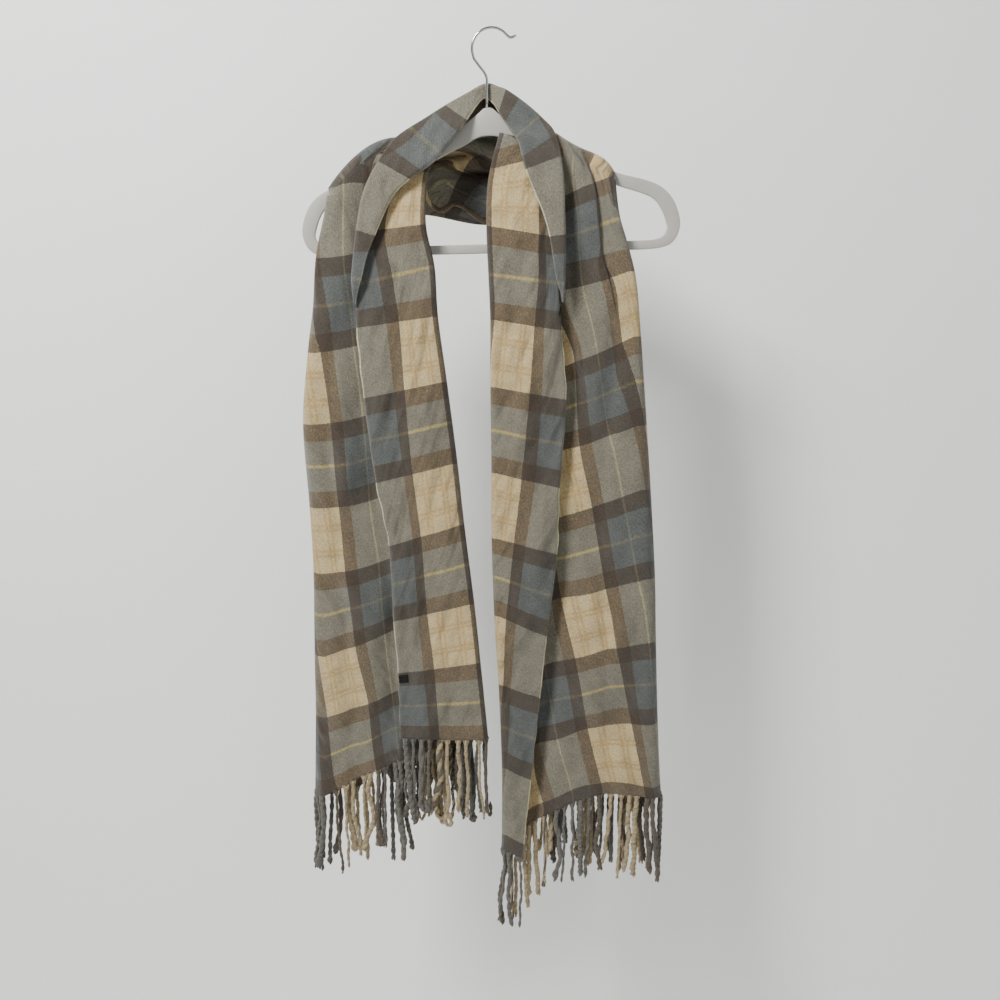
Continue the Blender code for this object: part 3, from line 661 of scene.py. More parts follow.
def round_fold(x, near_y, far_y, z, u, v, way, columns):
    """The round fold between two layers: x is where it turns, u and v are its threads there."""
    s = np.linspace(0, 1, columns + 2)[1:-1]
    radius = (far_y - near_y) / 2
    across = x + way * radius * (1 - np.sin(np.pi * s))
    y = (far_y + near_y) / 2 - radius * np.cos(np.pi * s)
    return across, y, np.full(columns, z), u + math.pi * radius * (s - 0.5), np.full(columns, v)


def middle_layer(w, t, side):
    """The middle layer, from the inner fold to the outer one."""
    inner = (w.middle_y - w.front_y) / 2
    outer = (w.back_y - w.middle_y) / 2
    start_x = w.fold_x + side * inner
    end_x = w.side_x - side * outer
    even = np.linspace(0, 1, 400)
    away = (start_x + (end_x - start_x) * even - w.crease_x) / LAP_SPREAD
    crowd = np.cumsum(1 + LAP_CROWD * np.exp(-away**2))
    crowd = (crowd - crowd[0]) / (crowd[-1] - crowd[0])
    s = np.interp(np.linspace(0, 1, MIDDLE_COLUMNS), crowd, even)
    x = start_x + (end_x - start_x) * s
    z = parabola(x, start_x, w.fold_z, w.edge_x, w.edge_z, end_x, w.side_z)
    reach = side * x
    u = np.interp(reach, side * np.array([start_x, w.edge_x, t.near_x, t.far_x, end_x]),
                  [t.u_fold + math.pi * inner / 2, t.u_edge, t.near_u, t.far_u,
                   t.u_side - math.pi * outer / 2])
    v = np.interp(reach, side * np.array([start_x, (start_x + w.edge_x) / 2, w.edge_x, end_x]),
                  [t.v_fold, (1 - EDGE_KNEE) * t.v_fold + EDGE_KNEE * t.v_edge, t.v_edge,
                   t.v_side])
    taper = ease(s / FOLD_CLEAR) * ease((1 - s) / FOLD_CLEAR)
    hollow = min(HOLLOW * (w.back_y - w.middle_y), HOLLOW_DEEPEST)
    sink = hollow * np.exp(-((x - w.edge_x) / HOLLOW_WIDTH) ** 2)
    past = x - w.crease_x
    sharp = ease((w.crease - LAP_START) / LAP_EASE) if side > 0 else 0.0
    step = 1 / (1 + np.exp(-past / LAP_STEEP))
    near_side = LAP_DIP * (1 - step) * np.exp(np.minimum(past, 0) / LAP_SPREAD)
    sink += sharp * w.crease * (step * np.exp(-np.maximum(past, 0) / LAP_RUN) - near_side)
    lap = LAP * sharp * ease((1 - s) / FOLD_CLEAR)
    x = x + lap * (np.exp(-(past / 2 + 0.75) ** 2) - np.exp(-(past / 2 - 0.75) ** 2))
    sink += (1 - sharp) * w.crease * np.exp(-(past / CREASE_WIDTH) ** 2)
    sink += min(1.0, (w.back_y - w.middle_y) / SWELL_ROOM) * MIDDLE_SWELL * middle_waves(u, v)
    hidden = np.clip(side * (x - start_x) / (side * (w.edge_x - start_x)), 0, 1)
    gather = GATHER_DEPTH * ease(hidden * 6) * ease((1 - hidden) * 5)
    gather *= ease((w.middle_y + 15) / -10)
    sink += gather * np.sin(2 * np.pi * GATHERS * hidden)
    return x, w.middle_y + taper * sink, z, u, v


def back_layer(w, t, side):
    """The back layer, which hangs in soft waves."""
    s = np.linspace(0, 1, BACK_COLUMNS)
    radius = (w.back_y - w.middle_y) / 2
    start_x = w.side_x - side * radius
    end_x = w.fold_x + side * BACK_STOP
    x = start_x + (end_x - start_x) * s
    u0 = t.u_side + math.pi * radius / 2
    u = u0 + (CLOTH_WIDTH - u0) * s
    v = np.full(s.shape, t.v_side)
    swing = np.sin(2 * np.pi * BACK_WAVES * s) + BACK_UNEVEN * back_waves(u, v) + BACK_DRIFT
    y = w.back_y + BACK_SWELL * w.wave * swing * ease(s / FOLD_CLEAR)
    z = w.side_z + BACK_RISE * s * ease((RISE_START - w.side_z) / RISE_LENGTH)
    return x, y, z, u, v


def tail_surface(wefts, threads):
    """The points of a tail (rows, columns, xyz) and their places in the flat cloth, in mm."""
    side = math.copysign(1, wefts[0].side_x)
    gaps = np.diff([thread.v_side for thread in threads])
    steps = [max(3, round(gap / ROW_PITCH)) for gap in gaps]
    points, places = [], []
    for shape, marks in zip(fine_rows(wefts, steps), fine_rows(threads, steps)):
        w, t = Weft(*shape), Thread(*marks)
        parts = [front_layer(w, t, side),
                 round_fold(w.fold_x, w.front_y, w.middle_y, w.fold_z, t.u_fold, t.v_fold,
                            side, FOLD_COLUMNS),
                 middle_layer(w, t, side),
                 round_fold(w.side_x, w.middle_y, w.back_y, w.side_z, t.u_side, t.v_side,
                            -side, SIDE_COLUMNS),
                 back_layer(w, t, side)]
        x, y, z, u, v = (np.concatenate(column) for column in zip(*parts))
        points.append(np.stack([x, y, z], 1))
        places.append(np.stack([u, -side * v], 1))
    return np.array(points), np.array(places)


left_points, left_places = tail_surface(LEFT_WEFTS, LEFT_THREADS)
right_points, right_places = tail_surface(RIGHT_WEFTS, RIGHT_THREADS)
print("left tail", left_points.shape, "right tail", right_points.shape)

# %% [markdown]
# ## Over the arms and behind the neck
# The middle layer of each tail runs on over the hanger's arm, and the cloth swings behind the
# neck in loose pleats.  Its mesh shares the first row of points with each tail, so there is no
# seam.  The table gives its upper and lower edge from one shoulder to the other.

# %% The swag behind the neck
# The loft rounds the cloth over the arm, and its lean moves that towards the outer end.  The
# slide moves the pleats up on one side, so that they run aslant behind the neck.
Swag = namedtuple("Swag", "top_x top_y top_z low_x low_y low_z loft lean slide loose v_top v_low")
SWAGS = [
    Swag(-101, -8, -114, -178, -8.5, -164.5, 13, 1, 0.2, 0.0, 102, 144),
    Swag(-100, 0, -110, -178.5, 0, -162.1, 14, 1, 0.2, 0.0, 94, 131),
    Swag(-97, 8, -111, -177, 9, -166, 12, 1, 0.2, 0.0, 88, 119),
    Swag(-91, 9, -107, -170, 16, -173, 8, 1, 0.2, 0.15, 84, 108),
    Swag(-82, 8, -100, -157, 22, -181, 3, 1, 0.2, 0.4, 76, 98),
    Swag(-66, 7, -92, -125, 30, -184, 0, 1, 0.19, 0.7, 64, 80),
    Swag(-38, 10.5, -75.5, -70, 36, -189, 0, 1, 0.16, 1.0, 33, 36),
    Swag(-7, 13, -59, -10, 38, -199, 0, 1, 0.0, 1.0, 0, 95),
    Swag(24, 10.5, -71, 46, 36, -193, 0, 1, 0.0, 1.0, -36, 60),
    Swag(44, 8, -86, 86, 30, -182, 0, 2, 0.0, 0.7, -64, -80),
    Swag(54, 7, -95, 112, 22, -171, 0, 3, 0.0, 0.4, -104, -125),
    Swag(61, 8, -101, 125, 16, -162, 2, 3, 0.0, 0.15, -136, -155),
    Swag(67, 8, -106, 132, 9, -150, 6, 3, 0.0, 0.0, -141, -176),
    Swag(69, 0, -105, 133.5, 0, -146, 7, 3, 0.0, 0.0, -145, -190),
    Swag(69, -8, -109, 133, -8.5, -147.5, 5, 3, 0.0, 0.0, -149, -200),
]
SHOULDER_START = 0.36           # part of the middle layer where the shoulder begins
Pleat = namedtuple("Pleat", "down back place")
# The places put grey and brown bands of the check behind the neck: partly the real check, partly
# painted shade, as darker bands stand in for the shade this cloth lies in.
PLEATS = [Pleat(0.0, 0, 236), Pleat(0.2, 9, 254), Pleat(0.3, -1, 264), Pleat(0.42, -7, 278),
          Pleat(0.56, -3, 300), Pleat(0.61, 18, 340), Pleat(0.67, 0, 368), Pleat(0.84, -6, 394),
          Pleat(0.92, -2, 406), Pleat(1.0, 7, 418)]
SWAG_PITCH = 5.0

first = FRONT_COLUMNS + FOLD_COLUMNS + round(SHOULDER_START * (MIDDLE_COLUMNS - 1))
last = FRONT_COLUMNS + FOLD_COLUMNS + MIDDLE_COLUMNS - 1
down = np.linspace(0, 1, last - first + 1)


def pleat_row(column, slide):
    """A column of the pleat table, eased from pleat to pleat."""
    stops = np.array([p.down for p in PLEATS])
    values = np.array([getattr(p, column) for p in PLEATS], float)
    moved = down + slide * np.sin(np.pi * down)
    k = np.clip(np.searchsorted(stops, moved, side="right") - 1, 0, len(stops) - 2)
    t = ease((moved - stops[k]) / (stops[k + 1] - stops[k]))
    return values[k] + (values[k + 1] - values[k]) * t


def swag_surface():
    """The stretch over the arms, from the left shoulder's row to the right one's."""
    rows = [left_points[0, first:last + 1]]
    marks = [left_places[0, first:last + 1]]
    middle = (len(SWAGS) - 1) / 2
    for i, s in enumerate(SWAGS):
        top = np.array([s.top_x, s.top_y, s.top_z])
        low = np.array([s.low_x, s.low_y, s.low_z])
        row = top + (low - top) * down[:, None]
        row[:, 1] += s.loose * pleat_row("back", s.slide)
        row[:, 2] += s.loft * 4 * down**s.lean * (1 - down**s.lean)
        rows.append(row)
        seam = (left_places if i < middle else right_places)[0, first:last + 1, 0]
        u = seam + (pleat_row("place", s.slide) - seam) * ease((s.loose - 0.4) / 0.6)
        marks.append(np.stack([u, s.v_top + (s.v_low - s.v_top) * down], 1))
    rows.append(right_points[0, first:last + 1])
    marks.append(right_places[0, first:last + 1])
    lengths = [np.linalg.norm(b - a, axis=1).max() for a, b in zip(rows, rows[1:])]
    steps = [max(2, round(length / SWAG_PITCH)) for length in lengths]
    return fine_rows(rows, steps)[1:-1], fine_rows(marks, steps)[1:-1]


swag_points, swag_places = swag_surface()
print("swag", swag_points.shape)


# %% One cloth from all its parts
def grid_faces(index):
    """Four-sided faces between the rows and columns of a grid of point numbers."""
    a, b = index[:-1, :-1], index[:-1, 1:]
    c, d = index[1:, 1:], index[1:, :-1]
    return np.stack([a, d, c, b], -1).reshape(-1, 4).tolist()


def add_piece(name, points, faces, places, material, even=True):
    """A mesh in mm with a UV map of places in the flat cloth, riding on the hanger."""
    mesh = bpy.data.meshes.new(name)
    mesh.from_pydata((points * MM).tolist(), [], faces)
    if places is not None:
        spots = np.empty(len(mesh.loops), int)
        mesh.loops.foreach_get("vertex_index", spots)
        layer = mesh.uv_layers.new(name="threads")
        layer.data.foreach_set("uv", (places[spots] * MM).ravel())
    if even:
        maker = bmesh.new()
        maker.from_mesh(mesh)
        bmesh.ops.recalc_face_normals(maker, faces=maker.faces)
        maker.to_mesh(mesh)
        maker.free()
    mesh.shade_smooth()
    mesh.materials.append(material)
    piece = bpy.data.objects.new(name, mesh)
    bpy.context.scene.collection.objects.link(piece)
    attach(piece, "root")
    return piece


def thicken(piece, wall):
    """Give a sheet its wall, with the sheet in the middle of it."""
    solid = piece.modifiers.new("wall", "SOLIDIFY")
    solid.thickness = wall * MM
    solid.offset = 0.0
    solid.use_even_offset = False


def number_grid(points, start):
    """Point numbers for a grid, counted on from a start."""
    rows, columns = points.shape[:2]
    return np.arange(start, start + rows * columns).reshape(rows, columns)


left_index = number_grid(left_points, 0)
right_index = number_grid(right_points, left_index.size)
swag_index = number_grid(swag_points, left_index.size + right_index.size)
swag_index = np.concatenate([left_index[:1, first:last + 1], swag_index,
                             right_index[:1, first:last + 1]])
cloth_points = np.concatenate([p.reshape(-1, 3) for p in (left_points, right_points, swag_points)])
cloth_marks = np.concatenate([p.reshape(-1, 2) for p in (left_places, right_places, swag_places)])
cloth_faces = grid_faces(left_index) + grid_faces(right_index) + grid_faces(swag_index)
woven_cloth = add_piece("woven_cloth", cloth_points, cloth_faces, cloth_marks, CHECKED_WOOL)
thicken(woven_cloth, WALL)
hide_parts("left_tail", "right_tail", "neck_back")
print("woven cloth:", len(cloth_faces), "faces in the sheet")

# %% [markdown]
# ## The rolled collar
# The upper selvage is rolled over to the front.  It is a strip with a free edge, a flat flap and
# a round roll, and it grows narrow at both ends until it meets the front layer's edge.  It is a
# piece of its own, because its mesh follows the roll and not the weft lines.

# %% The collar
Roll = namedtuple("Roll", "edge_x edge_y edge_z crest_x crest_y crest_z along")
ROLLS = [
    Roll(-148.0, -37.5, -287, -149.5, -37.0, -287, 298),
    Roll(-146.5, -40, -278, -150.5, -38.5, -278, 289),
    Roll(-143.5, -42, -268, -151, -40, -267, 279),
    Roll(-140, -43, -258, -151, -40, -256, 269),
    Roll(-134, -42, -236, -149, -39, -238, 247),
    Roll(-125, -40, -214, -145, -37, -208, 221),
    Roll(-106, -37, -175, -137, -34, -170, 176),
    Roll(-87, -36, -156, -121, -28, -138, 145),
    Roll(-64, -32, -140, -103, -12, -112, 110),
    Roll(-41, -22, -115, -70, -1, -90, 76),
    Roll(-27, -12, -94, -51, 3, -78, 46),
    Roll(-17, -3, -79, -28, 6, -65, 24),
    Roll(-8, 5, -69, -7, 7, -54, 5),
    Roll(2, 3, -75, 8, 6, -57.5, -12),
    Roll(9, -6, -87, 18, 5, -62, -35),
    Roll(19, -14, -101, 38, 3, -76, -62),
    Roll(28, -24, -116, 57, 0, -93, -88),
    Roll(32, -30, -130, 67, -12, -106, -107),
    Roll(36, -35, -146, 74, -24, -133, -131),
    Roll(46, -37, -170, 77, -34, -163, -160),
    Roll(55, -39, -191, 78, -37, -189, -183),
    Roll(62, -41, -215, 79, -39, -213, -207),
    Roll(66, -43, -238, 79, -41, -238, -232),
    Roll(69, -44, -256, 79, -42, -257, -250),
    Roll(72, -43, -266, 79, -41.5, -267, -260),
    Roll(75, -41, -275, 78.5, -40, -276, -269),
    Roll(76.8, -38.5, -284, 78, -38, -284, -278),
]
ROLL_RADIUS = 3.0
ROLL_UNDER = 7.0
FULL_WIDTH = 11.0               # where the flap is narrower than this, its roll shrinks with it
FLAP_COLUMNS = 9
ROLL_COLUMNS = 7
COLLAR_STEPS = 6


def collar_surface():
    """The points of the collar and their places in the cloth."""
    rolls = [Roll(*r) for r in fine_rows(ROLLS, [COLLAR_STEPS] * (len(ROLLS) - 1))]
    edges = np.array([[r.edge_x, r.edge_y, r.edge_z] for r in rolls])
    crests = np.array([[r.crest_x, r.crest_y, r.crest_z] for r in rolls])
    ahead = np.gradient((edges + crests) / 2, axis=0)
    points, places = [], []
    for edge, crest, go, roll in zip(edges, crests, ahead, rolls):
        across = crest - edge
        width = np.linalg.norm(across)
        outward = across / width
        front = np.cross(go, outward)
        front /= np.linalg.norm(front) * (1 if front[1] < 0 else -1)
        radius = ROLL_RADIUS * min(1.0, width / FULL_WIDTH)
        centre = crest - outward * radius
        flap = np.linspace(0, 1, FLAP_COLUMNS)[:, None]
        row = [edge + (centre + front * radius - edge) * flap]
        angle = np.linspace(0, np.pi, ROLL_COLUMNS + 2)[1:-1, None]
        row.append(centre + front * radius * np.cos(angle) + outward * radius * np.sin(angle))
        under = centre - front * radius
        row.append([under, under - outward * ROLL_UNDER * min(1.0, width / FULL_WIDTH)])
        row = np.concatenate(row)
        steps = np.linalg.norm(np.diff(row, axis=0), axis=1)
        u = np.concatenate([[0], np.cumsum(steps)])
        points.append(row)
        places.append(np.stack([u, np.full(u.shape, roll.along)], 1))
    return np.array(points), np.array(places)


collar_points, collar_places = collar_surface()
collar_flap = add_piece("collar_flap", collar_points.reshape(-1, 3),
                        grid_faces(number_grid(collar_points, 0)), collar_places.reshape(-1, 2),
                        CHECKED_WOOL)
thicken(collar_flap, WALL)
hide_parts("rolled_collar")
print("collar", collar_points.shape)

# %% [markdown]
# ## The curled hem at the neck
# Behind the neck the lower edge of the cloth curls up into a soft roll.  It is a tube of its own
# along the line of that edge, and it lies half sunk in the front of the cloth.

# %% The curled hem
HEM_LINE = [(-84, -139), (-80.5, -149), (-77.7, -157), (-74.5, -167.5), (-70, -176), (-62, -182.7),
            (-55, -182.7), (-47.5, -178.3), (-41, -177.2), (-34, -179.4), (-25, -185),
            (-16, -191.4), (-8, -196), (2, -199)]
HEM_AHEAD = 1.0                 # mm that the tube's middle stands in front of the cloth
HEM_BLEND = 4.0                 # mm of cloth that gives the depth at one place
HEM_RADIUS = 2.9
HEM_STEPS = 4
HEM_WARP = 455.0                # the middle of a cream band
HEM_WEFT = 66.0                 # at the edge of a brown band
HEM_SIDES = 10


def tube(line, radii, sides):
    """A round tube with closed ends along a line."""
    go = np.gradient(line, axis=0)
    go /= np.linalg.norm(go, axis=1)[:, None]
    first_way = np.cross(go, [0.0, 1.0, 0.0])
    first_way /= np.linalg.norm(first_way, axis=1)[:, None]
    second_way = np.cross(go, first_way)
    angle = np.linspace(0, 2 * np.pi, sides, endpoint=False)
    ring = (first_way[:, None] * np.cos(angle)[None, :, None]
            + second_way[:, None] * np.sin(angle)[None, :, None])
    points = (line[:, None] + ring * radii[:, None, None]).reshape(-1, 3)
    index = np.arange(len(line) * sides).reshape(len(line), sides)
    index = np.concatenate([index, index[:, :1]], 1)
    faces = grid_faces(index)
    faces += [index[0, :sides].tolist(), index[-1, :sides][::-1].tolist()]
    return points, faces


hem_line = fine_rows([(x, 0, z) for x, z in HEM_LINE], [HEM_STEPS] * (len(HEM_LINE) - 1))
swag_flat = swag_points.reshape(-1, 3)
for spot in hem_line:
    away = np.hypot(swag_flat[:, 0] - spot[0], swag_flat[:, 2] - spot[2])
    share = np.exp(-((away - away.min()) / HEM_BLEND) ** 2)
    spot[1] = (share * swag_flat[:, 1]).sum() / share.sum() - HEM_AHEAD
hem_run = np.linspace(0, 1, len(hem_line))
hem_radii = HEM_RADIUS * (1 + 0.18 * np.sin(17 * hem_run) + 0.1 * np.sin(41 * hem_run))
hem_points, hem_faces = tube(hem_line, hem_radii, HEM_SIDES)
hem_around = np.tile(np.arange(HEM_SIDES) * HEM_RADIUS * 2 * np.pi / HEM_SIDES, len(hem_line))
hem_places = np.stack([HEM_WARP + hem_around, HEM_WEFT + hem_points[:, 0] * 0.3], 1)
curled_hem = add_piece("curled_hem", hem_points, hem_faces, hem_places, CHECKED_WOOL,
                       even=False)
print("curled hem:", len(hem_faces), "faces")

# %% [markdown]
# ## The fringe
# The warp threads run out of the cloth's end and are twisted into ropes of two plies.  Each rope
# takes the colour of the warp at its own root.  A rope could be a curve with a bevel, but two
# mesh tubes wound round each other show the twist from every side.


# %% The twisted wool
FADED = (104, 97, 86)           # the ropes are a mixture of neighbouring threads
FADED_SHARE = 0.48


def fringe_material():
    """Twisted wool in the colours of the warp."""
    material, tree, shader = new_material("twisted wool", 0.9)
    across, along = cloth_places(tree)
    check = use_group(tree, CHECK, Across=across, Along=0.0)
    threads = use_group(tree, THREADS, Across=across, Along=along, Rib=1.8)
    yarn = blend_colours(tree, FADED_SHARE, check.outputs["Warp"], seen(FADED))
    feed(tree, shader.inputs["Base Color"], shade_colour(tree, yarn, threads))
    add_bump(tree, shader, threads.outputs["Height"], 0.0004, 0.9)
    shader.inputs["Sheen Weight"].default_value = 0.15
    shader.inputs["Specular IOR Level"].default_value = WOOL_SPECULAR
    return material


TWISTED_WOOL = fringe_material()
print("material", TWISTED_WOOL.name)

# %% The ropes of the fringe
ROPES = 58                      # at each end
ROPE_LENGTH = 107.0
ROPE_SPREAD = 12.0
INNER_X = -108.0                # the left ropes nearer the middle than this ...
INNER_END = -920.0              # ... end near this height ...
INNER_SPREAD = (-16, 10)        # ... or so much higher or lower
PLY_RADIUS = 2.0
PLY_OFFSET = 0.8                # from the rope's middle line to a ply's
TWIST = 17.0                    # mm of rope for one turn
ROPE_RINGS = 44
PLY_SIDES = 6
SWAY = 9.0                      # mm that a rope's end hangs to the side
BEND = 2.2                      # mm of its long bends ...
CRIMP = 0.6                     # ... of its short ones ...
LIFT = 2.0                      # ... and of those to the front and back
LOOPS = 9                       # one rope in so many turns back up in a loop
LOOP_TURN = 0.68                # part of half a turn that it makes
LOOP_WIDTH = 6
GATHER_REACH = 3.6              # threads from this far on both sides run into a rope's knot
GATHER_DROP = 9.0
GATHER_RADIUS = 0.9


def rope_line(root, along, out, length, lean, rng):
    """The middle line of one hanging rope."""
    t = np.linspace(0, 1, ROPE_RINGS)
    sway = lean + SWAY * rng.normal(0, 0.45)
    bend = rng.normal(0, BEND)
    curl = bend * np.sin(2 * np.pi * t * rng.uniform(0.5, 1.3) + rng.uniform(0, 6))
    crimp = rng.normal(0, CRIMP) * np.sin(2 * np.pi * t * rng.uniform(2.0, 3.5))
    lift = rng.normal(0, LIFT) * np.sin(np.pi * t * rng.uniform(0.8, 2.0))
    drop = length * t
    aside = sway * t**1.4 + (curl + crimp) * ease(t * 3)
    if rng.integers(LOOPS) == 0:
        drop = length * np.sin(np.pi * t * LOOP_TURN)
        aside = aside + LOOP_WIDTH * ease((t - 0.55) / 0.35)
    line = root + np.outer(aside, along) + np.outer(lift, out)
    line[:, 2] = root[2] - drop
    return line


def add_ropes(name, hem, marks, seed, node, inner_x=0.0):
    """All the ropes of one end; those from inner_x to the middle end near one height."""
    rng = np.random.default_rng(seed)
    points, faces, places = [], [], []
    count = 0
    ahead = np.gradient(hem, axis=0)
    leans = waves(seed, 90, 0.0)

    def add_strand(line, radii, sides, u):
        nonlocal count
        p, f = tube(line, radii, sides)
        faces.extend([i + count for i in face] for face in f)
        points.append(p)
        places.append(np.stack([np.full(len(p), u), p[:, 2]], 1))
        count += len(p)

    for k in range(ROPES):
        u = (k + 0.5 + rng.uniform(-0.25, 0.25)) * CLOTH_WIDTH / ROPES
        root = np.array([np.interp(u, marks[:, 0], hem[:, i]) for i in range(3)])
        along = np.array([np.interp(u, marks[:, 0], ahead[:, i]) for i in (0, 1)] + [0.0])
        along /= np.linalg.norm(along)
        out = np.array([along[1], -along[0], 0.0])
        length = ROPE_LENGTH + rng.uniform(-ROPE_SPREAD, ROPE_SPREAD)
        if inner_x < root[0] < 0:
            length = min(length, root[2] - INNER_END + rng.uniform(*INNER_SPREAD))
        line = rope_line(root, along, out, length, 5 * float(leans(u, 0.0)), rng)
        size = rng.uniform(0.6, 1.4)
        loose = rng.uniform(0.8, 1.9)
        t = np.linspace(0, 1, ROPE_RINGS)
        turn = 2 * np.pi * length * t / (TWIST * loose) + rng.uniform(0, 6)
        fray = 1 + 0.9 * ease((t - 0.8) / 0.2) * rng.uniform(0, 1.6)
        lumps = 1 + 0.12 * np.sin(2 * np.pi * t * rng.uniform(3, 7) + rng.uniform(0, 6))
        for ply in (0, 1):
            angle = turn + ply * np.pi
            arm = (PLY_OFFSET * size * fray * ease(t * 12))[:, None]
            ply_line = line + arm * (np.outer(np.cos(angle), along) + np.outer(np.sin(angle), out))
            radii = PLY_RADIUS * size * lumps
            radii[-3:] *= (0.9, 0.75, 0.4)
            add_strand(ply_line, radii, PLY_SIDES, u + (ply * 2 - 1) * rng.uniform(0.2, 2.4))
        t = np.linspace(0, 1, 5)[:, None]
        for reach in (-GATHER_REACH, -0.45 * GATHER_REACH, 0.45 * GATHER_REACH, GATHER_REACH):
            knot = line[0] - np.array([0, 0, GATHER_DROP])
            start = line[0] + along * reach + np.array([0, 0, 1.5])
            bow = along * 0.18 * reach * np.sin(np.pi * t) - out * 0.6 * np.sin(np.pi * t)
            add_strand(start + (knot - start) * t + bow, np.linspace(1.1, 0.8, 5) * GATHER_RADIUS,
                       5, u + reach)
    piece = add_piece(name, np.concatenate(points), faces, np.concatenate(places), TWISTED_WOOL,
                      even=False)
    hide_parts(node)
    print(name, "has", len(faces), "faces")
    return piece


left_ropes = add_ropes("left_ropes", left_points[-1], left_places[-1], 21, "left_fringe", INNER_X)
right_ropes = add_ropes("right_ropes", right_points[-1], right_places[-1], 22, "right_fringe")

# %% [markdown]
# ## The label
# A small bare tab is sewn to the selvage of the front layer.  It is a thin slab with soft edges
# and a fine black weave, and nothing is written on it.

# %% The bare label
LABEL_WIDTH = 11.0
LABEL_HEIGHT = 9.0
LABEL_DROP = 719.0
LABEL_THICK = 0.8
LABEL_SEAM = 0.5
LABEL_INSET = 0.6               # mm from the selvage
LABEL_ROWS = 6
LABEL_COLUMNS = 7
LABEL_SHADES = [(12, 11, 9), (25, 24, 21)]


def label_material():
    """A fine black weave."""
    material, tree, shader = new_material("woven label", 0.75)
    across, along = cloth_places(tree)
    threads = use_group(tree, THREADS, Across=across, Along=along, Rib=0.8)
    feed(tree, shader.inputs["Base Color"], blend_colours(
        tree, threads.outputs["Twill"], *[seen(shade) for shade in LABEL_SHADES]))
    shader.inputs["Specular IOR Level"].default_value = WOOL_SPECULAR
    add_bump(tree, shader, threads.outputs["Height"], 0.0002, 0.8)
    return material


def label_points():
    """The label's grid, laid on the front layer's own points and moved out."""
    sheet_points = left_points[:, :FRONT_COLUMNS]
    rows = []
    for drop in np.linspace(LABEL_DROP, LABEL_DROP + LABEL_HEIGHT, LABEL_ROWS):
        row = int(np.argmin(abs(sheet_points[:, 0, 2] + drop)))
        before, after = sheet_points[row], sheet_points[min(row + 1, len(sheet_points) - 1)]
        t = (-drop - before[0, 2]) / (after[0, 2] - before[0, 2])
        line = before + (after - before) * t
        reach = np.linspace(LABEL_INSET, LABEL_WIDTH + LABEL_INSET, LABEL_COLUMNS)
        away = np.concatenate([[0], np.cumsum(np.linalg.norm(np.diff(line, axis=0), axis=1))])
        rows.append(np.stack([np.interp(reach, away, line[:, i]) for i in range(3)], 1))
    grid = np.array(rows)
    grid[:, :, 1] -= WALL / 2 + LABEL_SEAM + LABEL_THICK / 2
    return grid


label_grid = label_points()
label_marks = np.stack(np.meshgrid(np.linspace(0, LABEL_WIDTH, LABEL_COLUMNS),
                                   np.linspace(0, LABEL_HEIGHT, LABEL_ROWS)), -1)
bare_label = add_piece("bare_label", label_grid.reshape(-1, 3),
                       grid_faces(number_grid(label_grid, 0)), label_marks.reshape(-1, 2),
                       label_material())
thicken(bare_label, LABEL_THICK)
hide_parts("label")
print("label", label_grid.shape)

# %% [markdown]
# ## The hanger
# The hanger is a closed ring of pale plastic with a soft coating.  A table gives half of its
# outline, and a smooth curve through it turns the corners.  Its section is a rounded oblong.

# %% The ring of the hanger
Ring = namedtuple("Ring", "out_x out_z in_x in_z")
HALF_RING = [
    Ring(0, 0, 0, -29), Ring(5, -1, 7, -29.5), Ring(11, -6, 15, -32), Ring(24, -15, 27, -38.5),
    Ring(40, -27, 42, -45), Ring(60, -38, 61, -54), Ring(100, -55, 101, -69),
    Ring(140, -70.5, 140, -84), Ring(172, -79, 165, -92), Ring(190, -87.5, 180, -99),
    Ring(202, -101, 189, -111), Ring(208.5, -118, 194, -124), Ring(209, -131, 195, -131),
    Ring(203, -144, 191, -138), Ring(190, -151, 182, -142), Ring(160, -153, 160, -143),
    Ring(80, -153, 80, -143), Ring(0, -153, 0, -143),
]
HANGER_DEPTH = 5.0
HANGER_TILT = math.radians(1.4)
HANGER_ROUND = 1.4              # mm, radius of the section's corners
RING_MIDDLE_X = -4.0
NECK_TOP = -79.0
RING_STEPS = 4                  # between two rows of the table
CORNER_STEPS = 3
PLASTIC_SHADES = [(158, 156, 147), (174, 172, 163)]


def hanger_material():
    """Pale plastic with a soft, slightly grainy coating."""
    material, tree, shader = new_material("coated plastic", 0.5)
    spot = add_node(tree, "ShaderNodeTexCoord").outputs["Object"]
    grain = speckle(tree, spot, 1400.0, 2.0)
    cloud = speckle(tree, spot, 40.0, 3.0)
    feed(tree, shader.inputs["Base Color"],
         blend_colours(tree, cloud, *[seen(shade) for shade in PLASTIC_SHADES]))
    feed(tree, shader.inputs["Roughness"], calc(tree, "MULTIPLY_ADD", grain, 0.2, 0.4))
    add_bump(tree, shader, grain, 0.0001, 0.6)
    return material


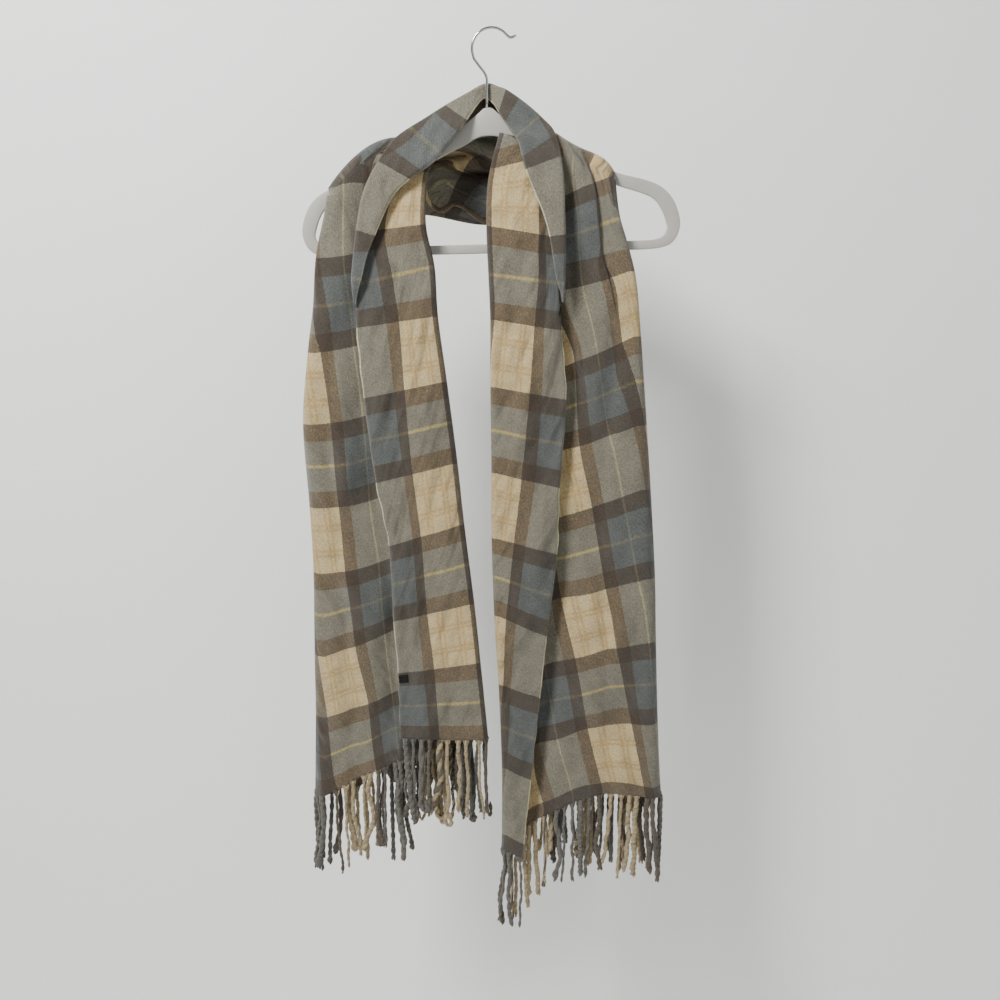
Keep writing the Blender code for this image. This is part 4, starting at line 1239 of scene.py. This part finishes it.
def add_hanger():
    """The closed ring, as a tube with a rounded oblong section."""
    left = [Ring(-r.out_x, r.out_z, -r.in_x, r.in_z) for r in reversed(HALF_RING[1:-1])]
    loop = HALF_RING + left
    fine = fine_rows(loop[-1:] + loop + loop[:2], [0] + [RING_STEPS] * len(loop) + [0])[:-1]
    half = HANGER_DEPTH / 2
    cos, sin = math.cos(HANGER_TILT), math.sin(HANGER_TILT)
    rings = []
    for out_x, out_z, in_x, in_z in fine:
        outer, inner = np.array([out_x, 0, out_z]), np.array([in_x, 0, in_z])
        middle, reach = (outer + inner) / 2, np.linalg.norm(outer - inner) / 2
        way = (outer - inner) / (2 * reach)
        ring = []
        for cx, cy, start in ((1, -1, -90), (1, 1, 0), (-1, 1, 90), (-1, -1, 180)):
            for step in range(CORNER_STEPS + 1):
                angle = math.radians(start + 90 * step / CORNER_STEPS)
                a = cx * (reach - HANGER_ROUND) + HANGER_ROUND * math.cos(angle)
                b = cy * (half - HANGER_ROUND) + HANGER_ROUND * math.sin(angle)
                ring.append(middle + way * a + np.array([0, b, 0]))
        rings.append(ring)
    points = np.array(rings)
    x, z = points[:, :, 0].copy(), points[:, :, 2].copy()
    points[:, :, 0] = RING_MIDDLE_X + x * cos - z * sin
    points[:, :, 2] = NECK_TOP + x * sin + z * cos
    index = number_grid(points, 0)
    index = np.concatenate([index, index[:1]])
    index = np.concatenate([index, index[:, :1]], 1)
    return add_piece("hanger_ring", points.reshape(-1, 3), grid_faces(index), None,
                     hanger_material())


hanger_ring = add_hanger()
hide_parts("hanger_body")
print("hanger ring in mm:", [round(float(a) * 1000) for a in hanger_ring.dimensions])

# %% [markdown]
# ## The hook
# The hook is a plated wire: a straight stem, a bend and most of a circle with a flicked tip.  It
# is a tube along the same line as the CAD wire, with many more sides so that its gloss is even.

# %% The wire hook
WIRE = 3.0
HOOK_RADIUS = 21.0
HOOK_STEM = [(-5.2, -78.6), (-5.2, -60), (-5.2, -50), (-7.5, -44), (-13.2, -37), (-18.6, -30)]
HOOK_START = math.radians(200)
HOOK_END = math.radians(42)
HOOK_TIP = [(20.3, -8.6), (26.2, -6.2)]
HOOK_STEPS = 32
HOOK_SIDES = 14
CHROME_SHADES = [(0.44, 0.44, 0.45, 1), (0.60, 0.60, 0.61, 1)]


def chrome_material():
    """Bright plated wire with fine drawn lines."""
    material, tree, shader = new_material("plated wire", 0.2, 1.0)
    spot = add_node(tree, "ShaderNodeTexCoord").outputs["Object"]
    smudge = speckle(tree, spot, 120.0, 3.0)
    feed(tree, shader.inputs["Base Color"], blend_colours(tree, smudge, *CHROME_SHADES))
    feed(tree, shader.inputs["Roughness"], calc(tree, "MULTIPLY_ADD", smudge, 0.14, 0.07))
    add_bump(tree, shader, speckle(tree, spot, 900.0, 2.0), 0.00005, 0.4)
    return material


def add_hook():
    """The wire, as a tube along its middle line."""
    path = list(HOOK_STEM)
    for i in range(HOOK_STEPS + 1):
        angle = HOOK_START + (HOOK_END - HOOK_START) * i / HOOK_STEPS
        path.append((HOOK_RADIUS * math.cos(angle),
                     WIRE / 2 - HOOK_RADIUS + HOOK_RADIUS * math.sin(angle)))
    path += HOOK_TIP
    line = np.array([[x, 0.0, z] for x, z in path])
    line = fine_rows(line, [3] * (len(line) - 1))
    radii = np.full(len(line), WIRE / 2)
    radii[-2:] *= (0.92, 0.6)
    points, faces = tube(line, radii, HOOK_SIDES)
    return add_piece("hook_wire", points, faces, None, chrome_material())


hook_wire = add_hook()
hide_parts("hanger_hook")
print("hook in mm:", [round(float(a) * 1000) for a in hook_wire.dimensions])
